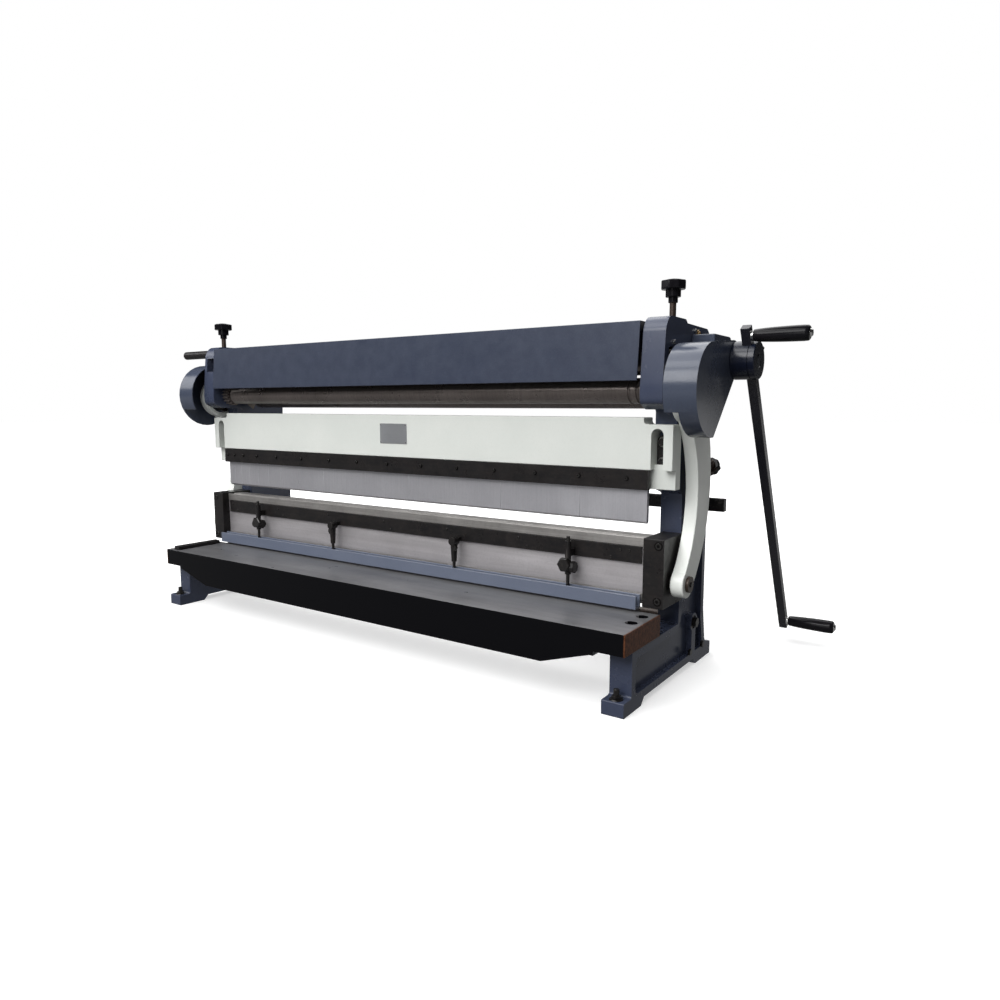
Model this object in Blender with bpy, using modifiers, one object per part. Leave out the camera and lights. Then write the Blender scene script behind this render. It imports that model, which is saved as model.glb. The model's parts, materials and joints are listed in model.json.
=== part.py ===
import math

import bmesh
import bpy
from mathutils import Matrix, Vector

# Combination sheet metal machine: a shear, a press brake and a slip roll on one pair of cast frames.
# Metres, +Z up. X runs along the machine, Y to the rear, Z = 0 is the bench under the feet.
# The pieces are placed from X = 0 at the middle and Y = 0 at the guide faces of the frames.
# The last step moves the whole machine so that its box stands centred on the origin.

# Shop values
FIT = 0.0003
RUN = 0.0005
OVERRUN = 0.01
MERGE = 0.00001
EDGE = 0.002
ARC_STEPS = 3
CORNER_SHARE = 0.49
SIDES = 24
FINE_SIDES = 32

# Frames: the castings stand FRAME_GAP apart, and INNER and OUTER are their faces
FRAME_GAP = 1.3174
FRAME_THICK = 0.045
FRAME_POCKET = 0.012
FRAME_RIM = 0.016
FRAME_FILLET = 0.012
FOOT_FRONT = 0.2544
FOOT_BACK = 0.198
TOE_FRONT = 0.0328
TOE_BACK = 0.051
FOOT_HEIGHT = 0.0278
FOOT_PAD = 0.076
FOOT_PAD_BACK = 0.0912
TOE_SLOPE = 0.0357
TOE_RISE = 0.0083
ARCH_RISE = 0.014
BOLT_HOLE_RADIUS = 0.0075
COLUMN_BACK = 0.147
NECK_BACK = 0.126
TIE_ROD_RADIUS = 0.014
TIE_ROD_BACK = 0.091
TIE_ROD_HEIGHT = 0.097
TIE_BOSS_WALL = 0.006
TIE_RIB = 0.022
INNER = FRAME_GAP / 2
OUTER = INNER + FRAME_THICK
MIDDLE = INNER + FRAME_THICK / 2

# Table, fence and lower blade
TABLE_OVERHANG = 0.0018
TABLE_FRONT = 0.2575
TABLE_BACK = 0.0883
TABLE_BOTTOM = 0.1153
TABLE_THICK = 0.0419
SKIRT_DROP = 0.0403
SKIRT_THICK = 0.028
SKIRT_END = 0.0635
SKIRT_SLOPE = 0.112
SKIRT_STEP = 0.008
COUNTERBORE_RADIUS = 0.012
COUNTERBORE_DEPTH = 0.016
TABLE_BOLT_RADIUS = 0.0065
TABLE_BOLT_FRONT = 0.180
TABLE_BOLT_PITCH = 0.050
LOWER_BLADE_THICK = 0.010
LOWER_BLADE_HEIGHT = 0.030
FENCE_LENGTH = 0.132
FENCE_WIDTH = 0.022
FENCE_HEIGHT = 0.010
TABLE_TOP = TABLE_BOTTOM + TABLE_THICK
TABLE_HALF = OUTER + TABLE_OVERHANG

# Ram with its die, blade and end blocks
RAM_OVERLAP = 0.0065
RAM_SETBACK = 0.0015
RAM_BACK = 0.028
RAM_HEIGHT = 0.110
BLADE_CLEARANCE = 0.0005
BLADE_THICK = 0.0115
BLADE_HEIGHT = 0.0195
BLADE_SHOW = 0.0038
SHEAR_OPENING = 0.011
DIE_HEIGHT = 0.018
DIE_GROOVE_WIDTH = 0.016
DIE_GROOVE_DEPTH = 0.008
BAR_INSET = 0.0105
BAR_THICK = 0.0049
BAR_HEIGHT = 0.0336
END_BLOCK_REACH = 0.0218
END_BLOCK_LAP = 0.0045
END_BLOCK_DROP = 0.0056
END_BLOCK_RISE = 0.0035
GIB_LENGTH = 0.034
RAM_TRAVEL = 0.0185
BLADE_FRONT = TABLE_BACK - FIT - LOWER_BLADE_THICK - BLADE_CLEARANCE
RAM_FRONT = BLADE_FRONT - RAM_SETBACK
RAM_HALF = INNER + RAM_OVERLAP
RAM_BOTTOM = TABLE_TOP + SHEAR_OPENING + BLADE_SHOW
RAM_TOP = RAM_BOTTOM + RAM_HEIGHT
DIE_TOP = RAM_TOP + FIT + DIE_HEIGHT
END_BLOCK_FRONT = RAM_FRONT + END_BLOCK_REACH
END_BLOCK_BOTTOM = RAM_BOTTOM - END_BLOCK_DROP
END_BLOCK_TOP = DIE_TOP + END_BLOCK_RISE

# Hold-down channel and its plungers
HOLD_DEPTH = 0.0237
HOLD_HEIGHT = 0.027
HOLD_WALL = 0.005
HOLD_SPACE = 0.0127
HOLD_OPENING = 0.0053
LARGE_PLUNGER_PLACE = 0.5
SMALL_PLUNGER_PLACE = 0.2
PLUNGER_ROD_RADIUS = 0.0038
LARGE_SLEEVE_RADIUS = 0.0065
LARGE_SLEEVE_RISE = 0.0225
LARGE_ROD_OVER = 0.010
CLAMP_RISE = 0.0385
CLAMP_HUB_RADIUS = 0.0105
CLAMP_HUB_WIDTH = 0.018
CLAMP_KNOB_RADIUS = 0.0125
CLAMP_KNOB_WIDTH = 0.010
SMALL_SLEEVE_RISE = 0.0135
SMALL_SLEEVE_LENGTH = 0.040
SMALL_SLEEVE_RADIUS = 0.0085
SMALL_SLEEVE_TAPER = 0.006
SMALL_EYE_RADIUS = 0.0095
LUG_WIDTH = 0.012
LUG_HEIGHT = 0.014
HOLD_BOTTOM = TABLE_TOP + HOLD_OPENING
HOLD_TOP = HOLD_BOTTOM + HOLD_HEIGHT
HOLD_BACK = RAM_FRONT + HOLD_SPACE
HOLD_FRONT = HOLD_BACK + HOLD_DEPTH
PLUNGER_FRONT = (HOLD_FRONT + HOLD_BACK) / 2

# Upper beam, clamp bar and fingers
BRAKE_OPENING = 0.0268
FINGER_SHOW = 0.0694
FINGER_SETBACK = 0.0041
FINGER_THICK = 0.010
FINGER_NOSE = 0.0045
FINGER_TIP_SHARE = 0.55
FINGER_WIDTH_SHARES = [25, 30, 35, 40, 45, 50, 75, 100, 300, 270, 200, 150]
FINGER_OVERLAP = 0.0013
BEAM_OVERHANG = 0.0093
BEAM_STEP_INSET = 0.0057
BEAM_REACH = 0.0085
BEAM_SEAT = 0.0377
BEAM_LIP_HEIGHT = 0.0385
BEAM_HEIGHT = 0.1016
BEAM_END_DROP = 0.0133
BEAM_FILLET = 0.008
BEAM_SLOT_RADIUS = 0.0125
BEAM_SLOT_BRIDGE = 0.0083
THROAT_GAP = 0.001
CLAMP_BAR_THICK = 0.0108
FINGER_BOTTOM = DIE_TOP + BRAKE_OPENING
FINGER_FRONT = RAM_FRONT - FINGER_SETBACK
FINGER_PACK = FRAME_GAP + FINGER_OVERLAP * 2
BEAM_FRONT = FINGER_FRONT + BEAM_REACH
BEAM_LIP_BOTTOM = FINGER_BOTTOM + FINGER_SHOW
BEAM_BOTTOM = BEAM_LIP_BOTTOM + BEAM_LIP_HEIGHT
BEAM_TOP = BEAM_BOTTOM + BEAM_HEIGHT
BEAM_END_TOP = BEAM_TOP - BEAM_END_DROP
THROAT_TOP = BEAM_LIP_BOTTOM - THROAT_GAP

# Frame heads, which carry the main shaft and the rolls
HEAD_GAP = 0.0154
SHAFT_RISE = 0.036
HEAD_RISE = 0.138
HEAD_REACH = 0.049
HEAD_LEAN = 0.011
HEAD_BACK = 0.131
HEAD_STEP = 0.007
HEAD_SLOPE = 0.0091
HEAD_CHAMFER = 0.0157
HEAD_UNDERCUT = 0.0293
HEAD_NOSE = 0.025
HEAD_SWEEP = 0.25
NECK_DROP = 0.052
WINDOW_RISE = 0.067
WINDOW_HEIGHT = 0.038
HEAD_BOTTOM = BEAM_TOP + HEAD_GAP
SHAFT_HEIGHT = HEAD_BOTTOM + SHAFT_RISE
HEAD_TOP = SHAFT_HEIGHT + HEAD_RISE

# Main shaft, eccentrics and link arms
SHAFT_FRONT = 0.068
SHAFT_RADIUS = 0.016
SHAFT_STUB = 0.0043
ECCENTRICITY = 0.024
ECCENTRIC_REST = math.radians(-12)
ECCENTRIC_RADIUS = 0.040
ECCENTRIC_GAP = 0.0055
ARM_OFFSET = 0.0103
ARM_THICK = 0.026
ARM_PIVOT_FRONT = 0.051
ARM_PIVOT_RISE = 0.0466
ARM_PIVOT_RADIUS = 0.012
ARM_FOOT_RADIUS = 0.028
ARM_EYE_RADIUS = 0.056
ARM_EYE_SHIFT = 0.0045
ARM_BULGE = 0.075
ARM_HALF_BOTTOM = 0.026
ARM_HALF_TOP = 0.045
PIVOT_HEAD_RADIUS = 0.016
PIVOT_HEAD_THICK = 0.006
ARM_PIVOT_HEIGHT = END_BLOCK_BOTTOM + ARM_PIVOT_RISE
ARM_OUTER = OUTER + ARM_OFFSET + ARM_THICK
HEAD_FRONT = SHAFT_FRONT + HEAD_REACH

# Rolls
ROLL_RADIUS = 0.025
ROLL_RIGHT_GAP = 0.0037
ROLL_LEFT_GAP = 0.0437
ROLL_OPENING = 0.0046
ROLL_CLOSED = 0.0008
ROLL_GEAR_TEETH = 17
ROLL_GEAR_WIDTH = 0.024
JOURNAL_RADIUS = 0.014
WIRE_GROOVES = [(0.0342, 0.0025), (0.0162, 0.0035)]
BLOCK_WIDTH = 0.044
BLOCK_HEIGHT = 0.042
BLOCK_TRAVEL = 0.012
TOP_SCREW_SETBACK = 0.018
TOP_SCREW_INSET = 0.0107
TOP_SCREW_RADIUS = 0.0063
TOP_SCREW_GAP = 0.0028
KNOB_RADIUS = 0.0243
KNOB_RISE = 0.0704
KNOB_HEIGHT = 0.0188
KNOB_CROWN_RADIUS = 0.0116
KNOB_TIER_RADIUS = 0.0145
KNOB_TIER_HEIGHT = 0.0142
KNOB_NECK_RADIUS = 0.009
KNOB_NECK_HEIGHT = 0.0105
KNOB_LOBES = 8
KNOB_LOBE_DEPTH = 0.0022
REAR_ROLL_SETBACK = 0.080
REAR_ROLL_DROP = 0.010
REAR_KNOB_RUN = 0.226
REAR_KNOB_DROP = 0.161
REAR_KNOB_RADIUS = 0.021
REAR_KNOB_THICK = 0.018
REAR_KNOB_LENGTH = 0.0288
REAR_NECK_RADIUS = 0.010
REAR_SCREW_RADIUS = 0.008
REAR_TRAVEL = 0.026
ROLL_RIGHT_END = INNER - ROLL_RIGHT_GAP
ROLL_LEFT_END = INNER - ROLL_LEFT_GAP
TOP_SCREW_FRONT = SHAFT_FRONT - TOP_SCREW_SETBACK
TOP_SCREW_PLACE = OUTER - TOP_SCREW_INSET
KNOB_TOP = HEAD_TOP + KNOB_RISE
REAR_ROLL_BACK = REAR_ROLL_SETBACK - SHAFT_FRONT
REAR_ROLL_HEIGHT = SHAFT_HEIGHT - REAR_ROLL_DROP
REAR_KNOB_BACK = REAR_ROLL_BACK + REAR_KNOB_RUN
REAR_KNOB_HEIGHT = REAR_ROLL_HEIGHT - REAR_KNOB_DROP

# Gear train under the right cover, and the bracket that carries its first shaft
GEAR_MODULE = 0.0025
MAIN_TEETH = 44
IDLER_TEETH = 26
PINION_TEETH = 13
GEAR_WIDTH = 0.020
GEAR_SIDE_GAP = 0.003
GEAR_WEB = 0.006
GEAR_BOSS_RADIUS = 0.027
FLANK_SHARES = (0, 0.5, 1)
ADDENDUM_SHARE = 0.9
DEDENDUM_SHARE = 1.2
BACKLASH = 0.0005
PRESSURE_ANGLE = math.radians(20)
PINION_SETBACK = 0.122
PINION_RISE = 0.0585
PINION_SHAFT_RADIUS = 0.012
IDLER_PIN_RADIUS = 0.008
BRACKET_WIDTH = 0.0455
BRACKET_AHEAD = 0.027
BRACKET_BEHIND = 0.077
BRACKET_BELOW = 0.0245
BRACKET_ABOVE = 0.0525
PINION_BACK = PINION_SETBACK - SHAFT_FRONT
PINION_HEIGHT = SHAFT_HEIGHT + PINION_RISE
BRACKET_FRONT = PINION_BACK - BRACKET_AHEAD
BRACKET_BACK = PINION_BACK + BRACKET_BEHIND
BRACKET_BOTTOM = PINION_HEIGHT - BRACKET_BELOW
BRACKET_TOP = PINION_HEIGHT + BRACKET_ABOVE
BRACKET_END = OUTER + FIT + BRACKET_WIDTH
GEAR_START = BRACKET_END + GEAR_SIDE_GAP

# Covers
COVER_RADIUS = 0.088
COVER_WALL = 0.003
COVER_SIDE_GAP = 0.0075
COVER_OFFSET = 0.0168
COVER_TAIL_RADIUS = 0.033
COVER_TAIL_AHEAD = 0.008
COVER_TAIL_RISE = 0.0065
COVER_CORNER = math.radians(-84)
COVER_CUT_DROP = 0.041
COVER_CUT_RISE = 0.052
LEFT_COVER_CUT_RISE = 0.031
ARM_CLEARANCE = 0.007
LEFT_COVER_WIDTH = 0.062
COVER_TAIL_BACK = PINION_BACK - COVER_TAIL_AHEAD
COVER_TAIL_HEIGHT = PINION_HEIGHT + COVER_TAIL_RISE
RIGHT_COVER_START = OUTER + COVER_OFFSET
RIGHT_COVER_END = GEAR_START + GEAR_WIDTH + COVER_SIDE_GAP + COVER_WALL
LEFT_COVER_START = OUTER + FIT
LEFT_COVER_END = LEFT_COVER_START + LEFT_COVER_WIDTH
SHAFT_END_LEFT = ARM_OUTER + SHAFT_STUB
SHAFT_END_RIGHT = GEAR_START + GEAR_WIDTH + SHAFT_STUB

# Folded sheet cover over the rolls
TOP_COVER_END_GAP = 0.0043
TOP_COVER_PROUD = 0.0044
TOP_COVER_LEAN = 0.0099
TOP_COVER_RISE = 0.0183
TOP_COVER_DROP = 0.0083
TOP_COVER_DEPTH = 0.205
TOP_COVER_SKIRT = 0.045
TOP_COVER_SHEET = 0.002
COVER_LUG_LENGTH = 0.024
COVER_LUG_HEIGHT = 0.016
COVER_LUG_DEPTH = 0.04
COVER_LUG_FRONT = 0.035
TOP_COVER_FRONT = HEAD_FRONT + TOP_COVER_PROUD
TOP_COVER_BOTTOM = SHAFT_HEIGHT + TOP_COVER_RISE
TOP_COVER_TOP = HEAD_TOP - TOP_COVER_DROP

# Crank
HUB_RADIUS = 0.037
HUB_WIDTH = 0.0457
HUB_LIP = 0.008
CRANK_BAR_SIZE = 0.018
CRANK_BAR_END = 0.0188
CRANK_ANGLE = math.radians(30.4)
GRIP_INNER_PLACE = 0.052
GRIP_OUTER_PLACE = 0.699
GRIP_LENGTH = 0.1015
GRIP_START_RADIUS = 0.0115
GRIP_RADIUS = 0.0148
GRIP_END_RADIUS = 0.0128
GRIP_SHARES = (0.06, 0.35, 0.65, 0.93)
SPINDLE_RADIUS = 0.006
SPINDLE_COLLAR_RADIUS = 0.009
SPINDLE_COLLAR_WIDTH = 0.004
SPINDLE_NUT_RADIUS = 0.0085
SPINDLE_NUT_THICK = 0.0035
SPINDLE_NUT_TIP = 0.006
HUB_START = RIGHT_COVER_END + FIT
HUB_END = HUB_START + HUB_WIDTH
CRANK_BAR_PLACE = HUB_END - HUB_LIP - CRANK_BAR_SIZE / 2

# Rear stop and release bar
STOP_OVERHANG = 0.0333
STOP_GAP = 0.013
STOP_THICK = 0.017
STOP_RISE = 0.0032
STOP_HEIGHT = 0.0279
STOP_ROD_RADIUS = 0.008
STOP_ROD_START = 0.02
RELEASE_RADIUS = 0.0115
RELEASE_LENGTH = 0.1485
RELEASE_AHEAD = 0.016
RELEASE_DROP = 0.0195
STOP_BOTTOM = FINGER_BOTTOM + STOP_RISE
STOP_FRONT = COLUMN_BACK + STOP_GAP
STOP_MIDDLE = STOP_BOTTOM + STOP_HEIGHT / 2
RELEASE_FRONT = SHAFT_FRONT + RELEASE_AHEAD
RELEASE_HEIGHT = HEAD_TOP - RELEASE_DROP

PAINT_DARK = (0.045, 0.06, 0.105)
PAINT_LIGHT = (0.14, 0.17, 0.25)
PAINT_PALE = (0.72, 0.74, 0.70)
BLACK_OXIDE = (0.012, 0.012, 0.013)
GROUND_STEEL = (0.55, 0.55, 0.54)
DARK_STEEL = (0.20, 0.18, 0.16)
BRIGHT_STEEL = (0.62, 0.62, 0.62)
BLACK_PLASTIC = (0.02, 0.02, 0.02)


def clear_scene():
    for old in list(bpy.data.objects):
        bpy.data.objects.remove(old)
    for name in ("combination_sheet_metal_machine", "cutters"):
        made = bpy.data.collections.new(name)
        bpy.context.scene.collection.children.link(made)


def material(name, colour, roughness, metallic):
    made = bpy.data.materials.get(name) or bpy.data.materials.new(name)
    made.use_nodes = True
    shader = made.node_tree.nodes["Principled BSDF"]
    shader.inputs["Base Color"].default_value = (*colour, 1)
    shader.inputs["Roughness"].default_value = roughness
    shader.inputs["Metallic"].default_value = metallic
    made.diffuse_color = (*colour, 1)
    return made


def finish(piece, colour, roughness=0.4, metallic=0.0):
    # Each piece has its own material, named for it.
    piece.data.materials.clear()
    piece.data.materials.append(material(piece.name + "_finish", colour, roughness, metallic))
    return piece


def new_piece(name, mesh):
    piece = bpy.data.objects.new(name, mesh)
    bpy.data.collections["combination_sheet_metal_machine"].objects.link(piece)
    return piece


def from_bmesh(name, shape):
    bmesh.ops.recalc_face_normals(shape, faces=shape.faces)
    mesh = bpy.data.meshes.new(name)
    shape.to_mesh(mesh)
    shape.free()
    return new_piece(name, mesh)


def box(name, xs, ys, zs):
    low = Vector((min(xs), min(ys), min(zs)))
    high = Vector((max(xs), max(ys), max(zs)))
    shape = bmesh.new()
    bmesh.ops.create_cube(shape, size=1)
    place = Matrix.Translation((low + high) / 2) @ Matrix.Diagonal((*(high - low), 1))
    bmesh.ops.transform(shape, matrix=place, verts=shape.verts)
    return from_bmesh(name, shape)


def rod(name, start, end, radius, end_radius=None, sides=SIDES):
    # A cylinder or cone between two points.
    start = Vector(start)
    end = Vector(end)
    turn = (end - start).to_track_quat("Z", "Y").to_matrix().to_4x4()
    place = Matrix.Translation((start + end) / 2) @ turn
    tip = radius if end_radius is None else end_radius
    shape = bmesh.new()
    bmesh.ops.create_cone(shape, cap_ends=True, segments=sides, radius1=radius, radius2=tip,
                          depth=(end - start).length, matrix=place)
    piece = from_bmesh(name, shape)
    return smooth(piece)


def cross_rod(name, xs, axis, radius, *taper, sides=SIDES):
    # A rod along the machine, on an axis given by its Y and Z.
    return rod(name, (xs[0], *axis), (xs[1], *axis), radius, *taper, sides=sides)


def on_circle(centre, radius, angle):
    return (centre[0] + radius * math.cos(angle), centre[1] + radius * math.sin(angle))


def smooth(piece):
    piece.data.shade_smooth()
    piece.data.set_sharp_from_angle(angle=math.radians(35))
    return piece


def applied(piece):
    # The piece with its modifiers made part of its mesh, and its place in its mesh.
    graph = bpy.context.evaluated_depsgraph_get()
    graph.update()
    mesh = bpy.data.meshes.new_from_object(piece.evaluated_get(graph))
    mesh.transform(piece.matrix_world)
    name = piece.name
    bpy.data.objects.remove(piece)
    return new_piece(name, mesh)


def plate(name, outline, plane, low, high):
    # A flat outline, extruded across its plane from low to high.
    curve = bpy.data.curves.new(name, "CURVE")
    curve.dimensions = "2D"
    curve.fill_mode = "BOTH"
    curve.extrude = (high - low) / 2
    line = curve.splines.new("POLY")
    line.points.add(len(outline) - 1)
    for point, (u, v) in zip(line.points, outline):
        point.co = (u, v, 0, 1)
    line.use_cyclic_u = True
    turns = {
        "YZ": Matrix(((0, 0, 1, 0), (1, 0, 0, 0), (0, 1, 0, 0), (0, 0, 0, 1))),
        "XZ": Matrix(((1, 0, 0, 0), (0, 0, -1, 0), (0, 1, 0, 0), (0, 0, 0, 1))),
        "XY": Matrix.Identity(4),
    }
    across = {"YZ": (1, 0, 0), "XZ": (0, 1, 0), "XY": (0, 0, 1)}[plane]
    guide = bpy.data.objects.new(name, curve)
    bpy.context.scene.collection.objects.link(guide)
    guide.matrix_world = Matrix.Translation(Vector(across) * (low + high) / 2) @ turns[plane]
    bpy.context.view_layer.update()
    graph = bpy.context.evaluated_depsgraph_get()
    mesh = bpy.data.meshes.new_from_object(guide.evaluated_get(graph))
    mesh.transform(guide.matrix_world)
    bpy.data.objects.remove(guide)
    shape = bmesh.new()
    shape.from_mesh(mesh)
    bmesh.ops.remove_doubles(shape, verts=shape.verts, dist=MERGE)
    return from_bmesh(name, shape)


def turned(name, profile, start, along, sides=SIDES):
    # A solid of revolution: (distance along the axis, radius) pairs, turned about the line from start.
    mesh = bpy.data.meshes.new(name)
    points = [(radius, 0, -distance) for distance, radius in profile]
    edges = [(k, k + 1) for k in range(len(points) - 1)]
    if min(radius for distance, radius in profile) > 0:
        # A profile that stays off the axis closes on itself, as a ring.
        edges.append((len(points) - 1, 0))
    mesh.from_pydata(points, edges, [])
    piece = new_piece(name, mesh)
    turn = (-Vector(along)).to_track_quat("Z", "Y").to_matrix().to_4x4()
    piece.matrix_world = Matrix.Translation(start) @ turn
    screw = piece.modifiers.new("turn", "SCREW")
    screw.axis = "Z"
    screw.steps = sides
    screw.render_steps = sides
    screw.use_merge_vertices = True
    screw.merge_threshold = MERGE
    screw.use_smooth_shade = True
    bpy.context.view_layer.update()
    return applied(piece)


def hide_cutter(cutter):
    for old in list(cutter.users_collection):
        old.objects.unlink(cutter)
    bpy.data.collections["cutters"].objects.link(cutter)
    cutter.hide_render = True
    cutter.display_type = "WIRE"


def combine(piece, tool, operation):
    change = piece.modifiers.new(operation.lower(), "BOOLEAN")
    change.object = tool
    change.operation = operation
    change.solver = "EXACT"
    hide_cutter(tool)
    return piece


def cut(piece, *tools):
    for tool in tools:
        combine(piece, tool, "DIFFERENCE")
    return piece


def fuse(piece, *tools):
    for tool in tools:
        combine(piece, tool, "UNION")
    return piece


def ease_edges(piece, width, segments=1):
    bevel = piece.modifiers.new("edges", "BEVEL")
    bevel.width = width
    bevel.segments = segments
    bevel.limit_method = "ANGLE"
    bevel.angle_limit = math.radians(50)
    return piece


def rounded(corners, steps=ARC_STEPS):
    # Corners are (u, v, radius); each radius becomes an arc, limited by the sides that it joins.
    points = []
    for k, (u, v, radius) in enumerate(corners):
        here = Vector((u, v))
        before = Vector(corners[k - 1][:2]) - here
        after = Vector(corners[(k + 1) % len(corners)][:2]) - here
        half = before.angle(after) / 2
        if radius == 0 or half > math.radians(88):
            points.append((u, v))
            continue
        reach = min(radius / math.tan(half), before.length * CORNER_SHARE, after.length * CORNER_SHARE)
        radius = reach * math.tan(half)
        inward = (before.normalized() + after.normalized()).normalized()
        centre = here + inward * radius / math.sin(half)
        first = here + before.normalized() * reach - centre
        last = here + after.normalized() * reach - centre
        sweep = first.angle_signed(last)
        for step in range(steps + 1):
            arm = first.copy()
            arm.rotate(Matrix.Rotation(-sweep * step / steps, 2))
            points.append(tuple(centre + arm))
    return points


def arc(centre, radius, start, end, steps):
    angles = [start + (end - start) * k / steps for k in range(steps + 1)]
    return [(centre[0] + radius * math.cos(a), centre[1] + radius * math.sin(a)) for a in angles]


def lobed(radius, depth, lobes, steps=4):
    # A hand knob's rim: round lobes with shallow hollows between them.
    count = lobes * steps
    points = []
    for k in range(count):
        angle = 2 * math.pi * k / count
        r = radius - depth * (1 - math.cos(lobes * angle)) / 2
        points.append((r * math.cos(angle), r * math.sin(angle)))
    return points


def star_knob(name, radius, depth, thick, start, along):
    # A lobed disc, drawn flat and turned to the axis that it screws on.
    piece = plate(name, lobed(radius, depth, KNOB_LOBES), "XY", 0, thick)
    turn = Vector(along).to_track_quat("Z", "Y").to_matrix().to_4x4()
    piece.data.transform(Matrix.Translation(start) @ turn)
    return ease_edges(piece, EDGE)


# Frames

def frame_outline():
    lean = HEAD_FRONT - HEAD_LEAN
    pad_back = FOOT_BACK - FOOT_PAD_BACK
    return rounded([
        (-FOOT_FRONT, 0, EDGE),
        (-FOOT_FRONT + FOOT_PAD, 0, EDGE),
        (-FOOT_FRONT + FOOT_PAD + ARCH_RISE, ARCH_RISE, EDGE),
        (pad_back - ARCH_RISE, ARCH_RISE, EDGE),
        (pad_back, 0, EDGE),
        (FOOT_BACK, 0, EDGE),
        (FOOT_BACK, FOOT_HEIGHT, EDGE),
        (FOOT_BACK - TOE_SLOPE, FOOT_HEIGHT + TOE_RISE, FRAME_FILLET),
        (COLUMN_BACK, TABLE_BOTTOM, FRAME_FILLET * 3),
        (COLUMN_BACK, STOP_MIDDLE, FRAME_FILLET * 3),
        (NECK_BACK, HEAD_BOTTOM - NECK_DROP, FRAME_FILLET * 3),
        (HEAD_BACK, BRACKET_BOTTOM, FRAME_FILLET * 3),
        (HEAD_BACK, HEAD_TOP - HEAD_STEP * 3, FRAME_FILLET),
        (HEAD_BACK - HEAD_CHAMFER, HEAD_TOP - HEAD_SLOPE, FRAME_FILLET),
        (EDGE, HEAD_TOP - HEAD_STEP, EDGE),
        (-HEAD_STEP, HEAD_TOP, EDGE),
        (-HEAD_FRONT + HEAD_NOSE, HEAD_TOP, FRAME_FILLET * 2),
        (-lean, HEAD_TOP - FRAME_FILLET * 2, FRAME_FILLET * 2),
        (-HEAD_FRONT, SHAFT_HEIGHT, HEAD_SWEEP),
        (-HEAD_FRONT + EDGE, HEAD_BOTTOM + FRAME_FILLET, FRAME_FILLET),
        (-HEAD_FRONT + HEAD_UNDERCUT, HEAD_BOTTOM, FRAME_FILLET),
        (-BEAM_SEAT, HEAD_BOTTOM, FRAME_FILLET / 2),
        (-BEAM_SEAT, THROAT_TOP, EDGE),
        (0, THROAT_TOP - FRAME_FILLET, EDGE),
        (0, TABLE_BOTTOM - FIT, EDGE),
        (-FOOT_FRONT + TOE_FRONT, TABLE_BOTTOM - FIT, EDGE),
        (-FOOT_FRONT + TOE_FRONT, FOOT_HEIGHT, FRAME_FILLET / 2),
        (-FOOT_FRONT, FOOT_HEIGHT, EDGE),
    ])


def frame_pocket(side):
    # The hollow between the casting's outer ribs, round the tie rod's boss and the rib that carries it.
    base_front = -FOOT_FRONT + TOE_FRONT + FRAME_RIM
    base_top = TABLE_BOTTOM - FRAME_RIM
    base_low = ARCH_RISE + FRAME_RIM
    column_front = FRAME_RIM
    column_back = COLUMN_BACK - FRAME_RIM
    column_top = STOP_BOTTOM - FRAME_RIM / 2
    near, far = side * INNER, side * (OUTER + OVERRUN * 2)
    pocket = plate("frame_pocket", rounded([
        (base_front, base_low, FRAME_FILLET), (FOOT_BACK - TOE_BACK, base_low, FRAME_FILLET),
        (column_back, base_top, FRAME_FILLET * 2), (column_back, column_top, FRAME_FILLET),
        (column_front, column_top, FRAME_FILLET), (column_front, base_top, FRAME_FILLET * 3),
        (base_front, base_top, FRAME_FILLET),
    ]), "YZ", *sorted((side * (OUTER - FRAME_POCKET), side * (OUTER + OVERRUN))))
    boss = TIE_ROD_RADIUS + TIE_BOSS_WALL
    cut(pocket,
        box("tie_rib", (near, far), (TIE_ROD_BACK - TIE_RIB / 2, TIE_ROD_BACK + TIE_RIB / 2),
            (base_low - OVERRUN, TIE_ROD_HEIGHT)),
        rod("tie_boss", (near, TIE_ROD_BACK, TIE_ROD_HEIGHT), (far, TIE_ROD_BACK, TIE_ROD_HEIGHT), boss))
    return pocket


def rear_direction():
    # From the rear knob up and forward to the rear roll.
    return Vector((0, -REAR_KNOB_BACK + REAR_ROLL_BACK, REAR_ROLL_HEIGHT - REAR_KNOB_HEIGHT)).normalized()


def slanted_block(name, xs, half_width, back, ahead):
    # A block square to the rear screw, measured from the rear roll's centre.
    along = rear_direction()
    piece = box(name, xs, (-back, ahead), (-half_width, half_width))
    turn = Matrix.Rotation(math.atan2(along.z, along.y), 4, "X")
    piece.data.transform(Matrix.Translation((0, REAR_ROLL_BACK, REAR_ROLL_HEIGHT)) @ turn)
    return piece


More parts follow.
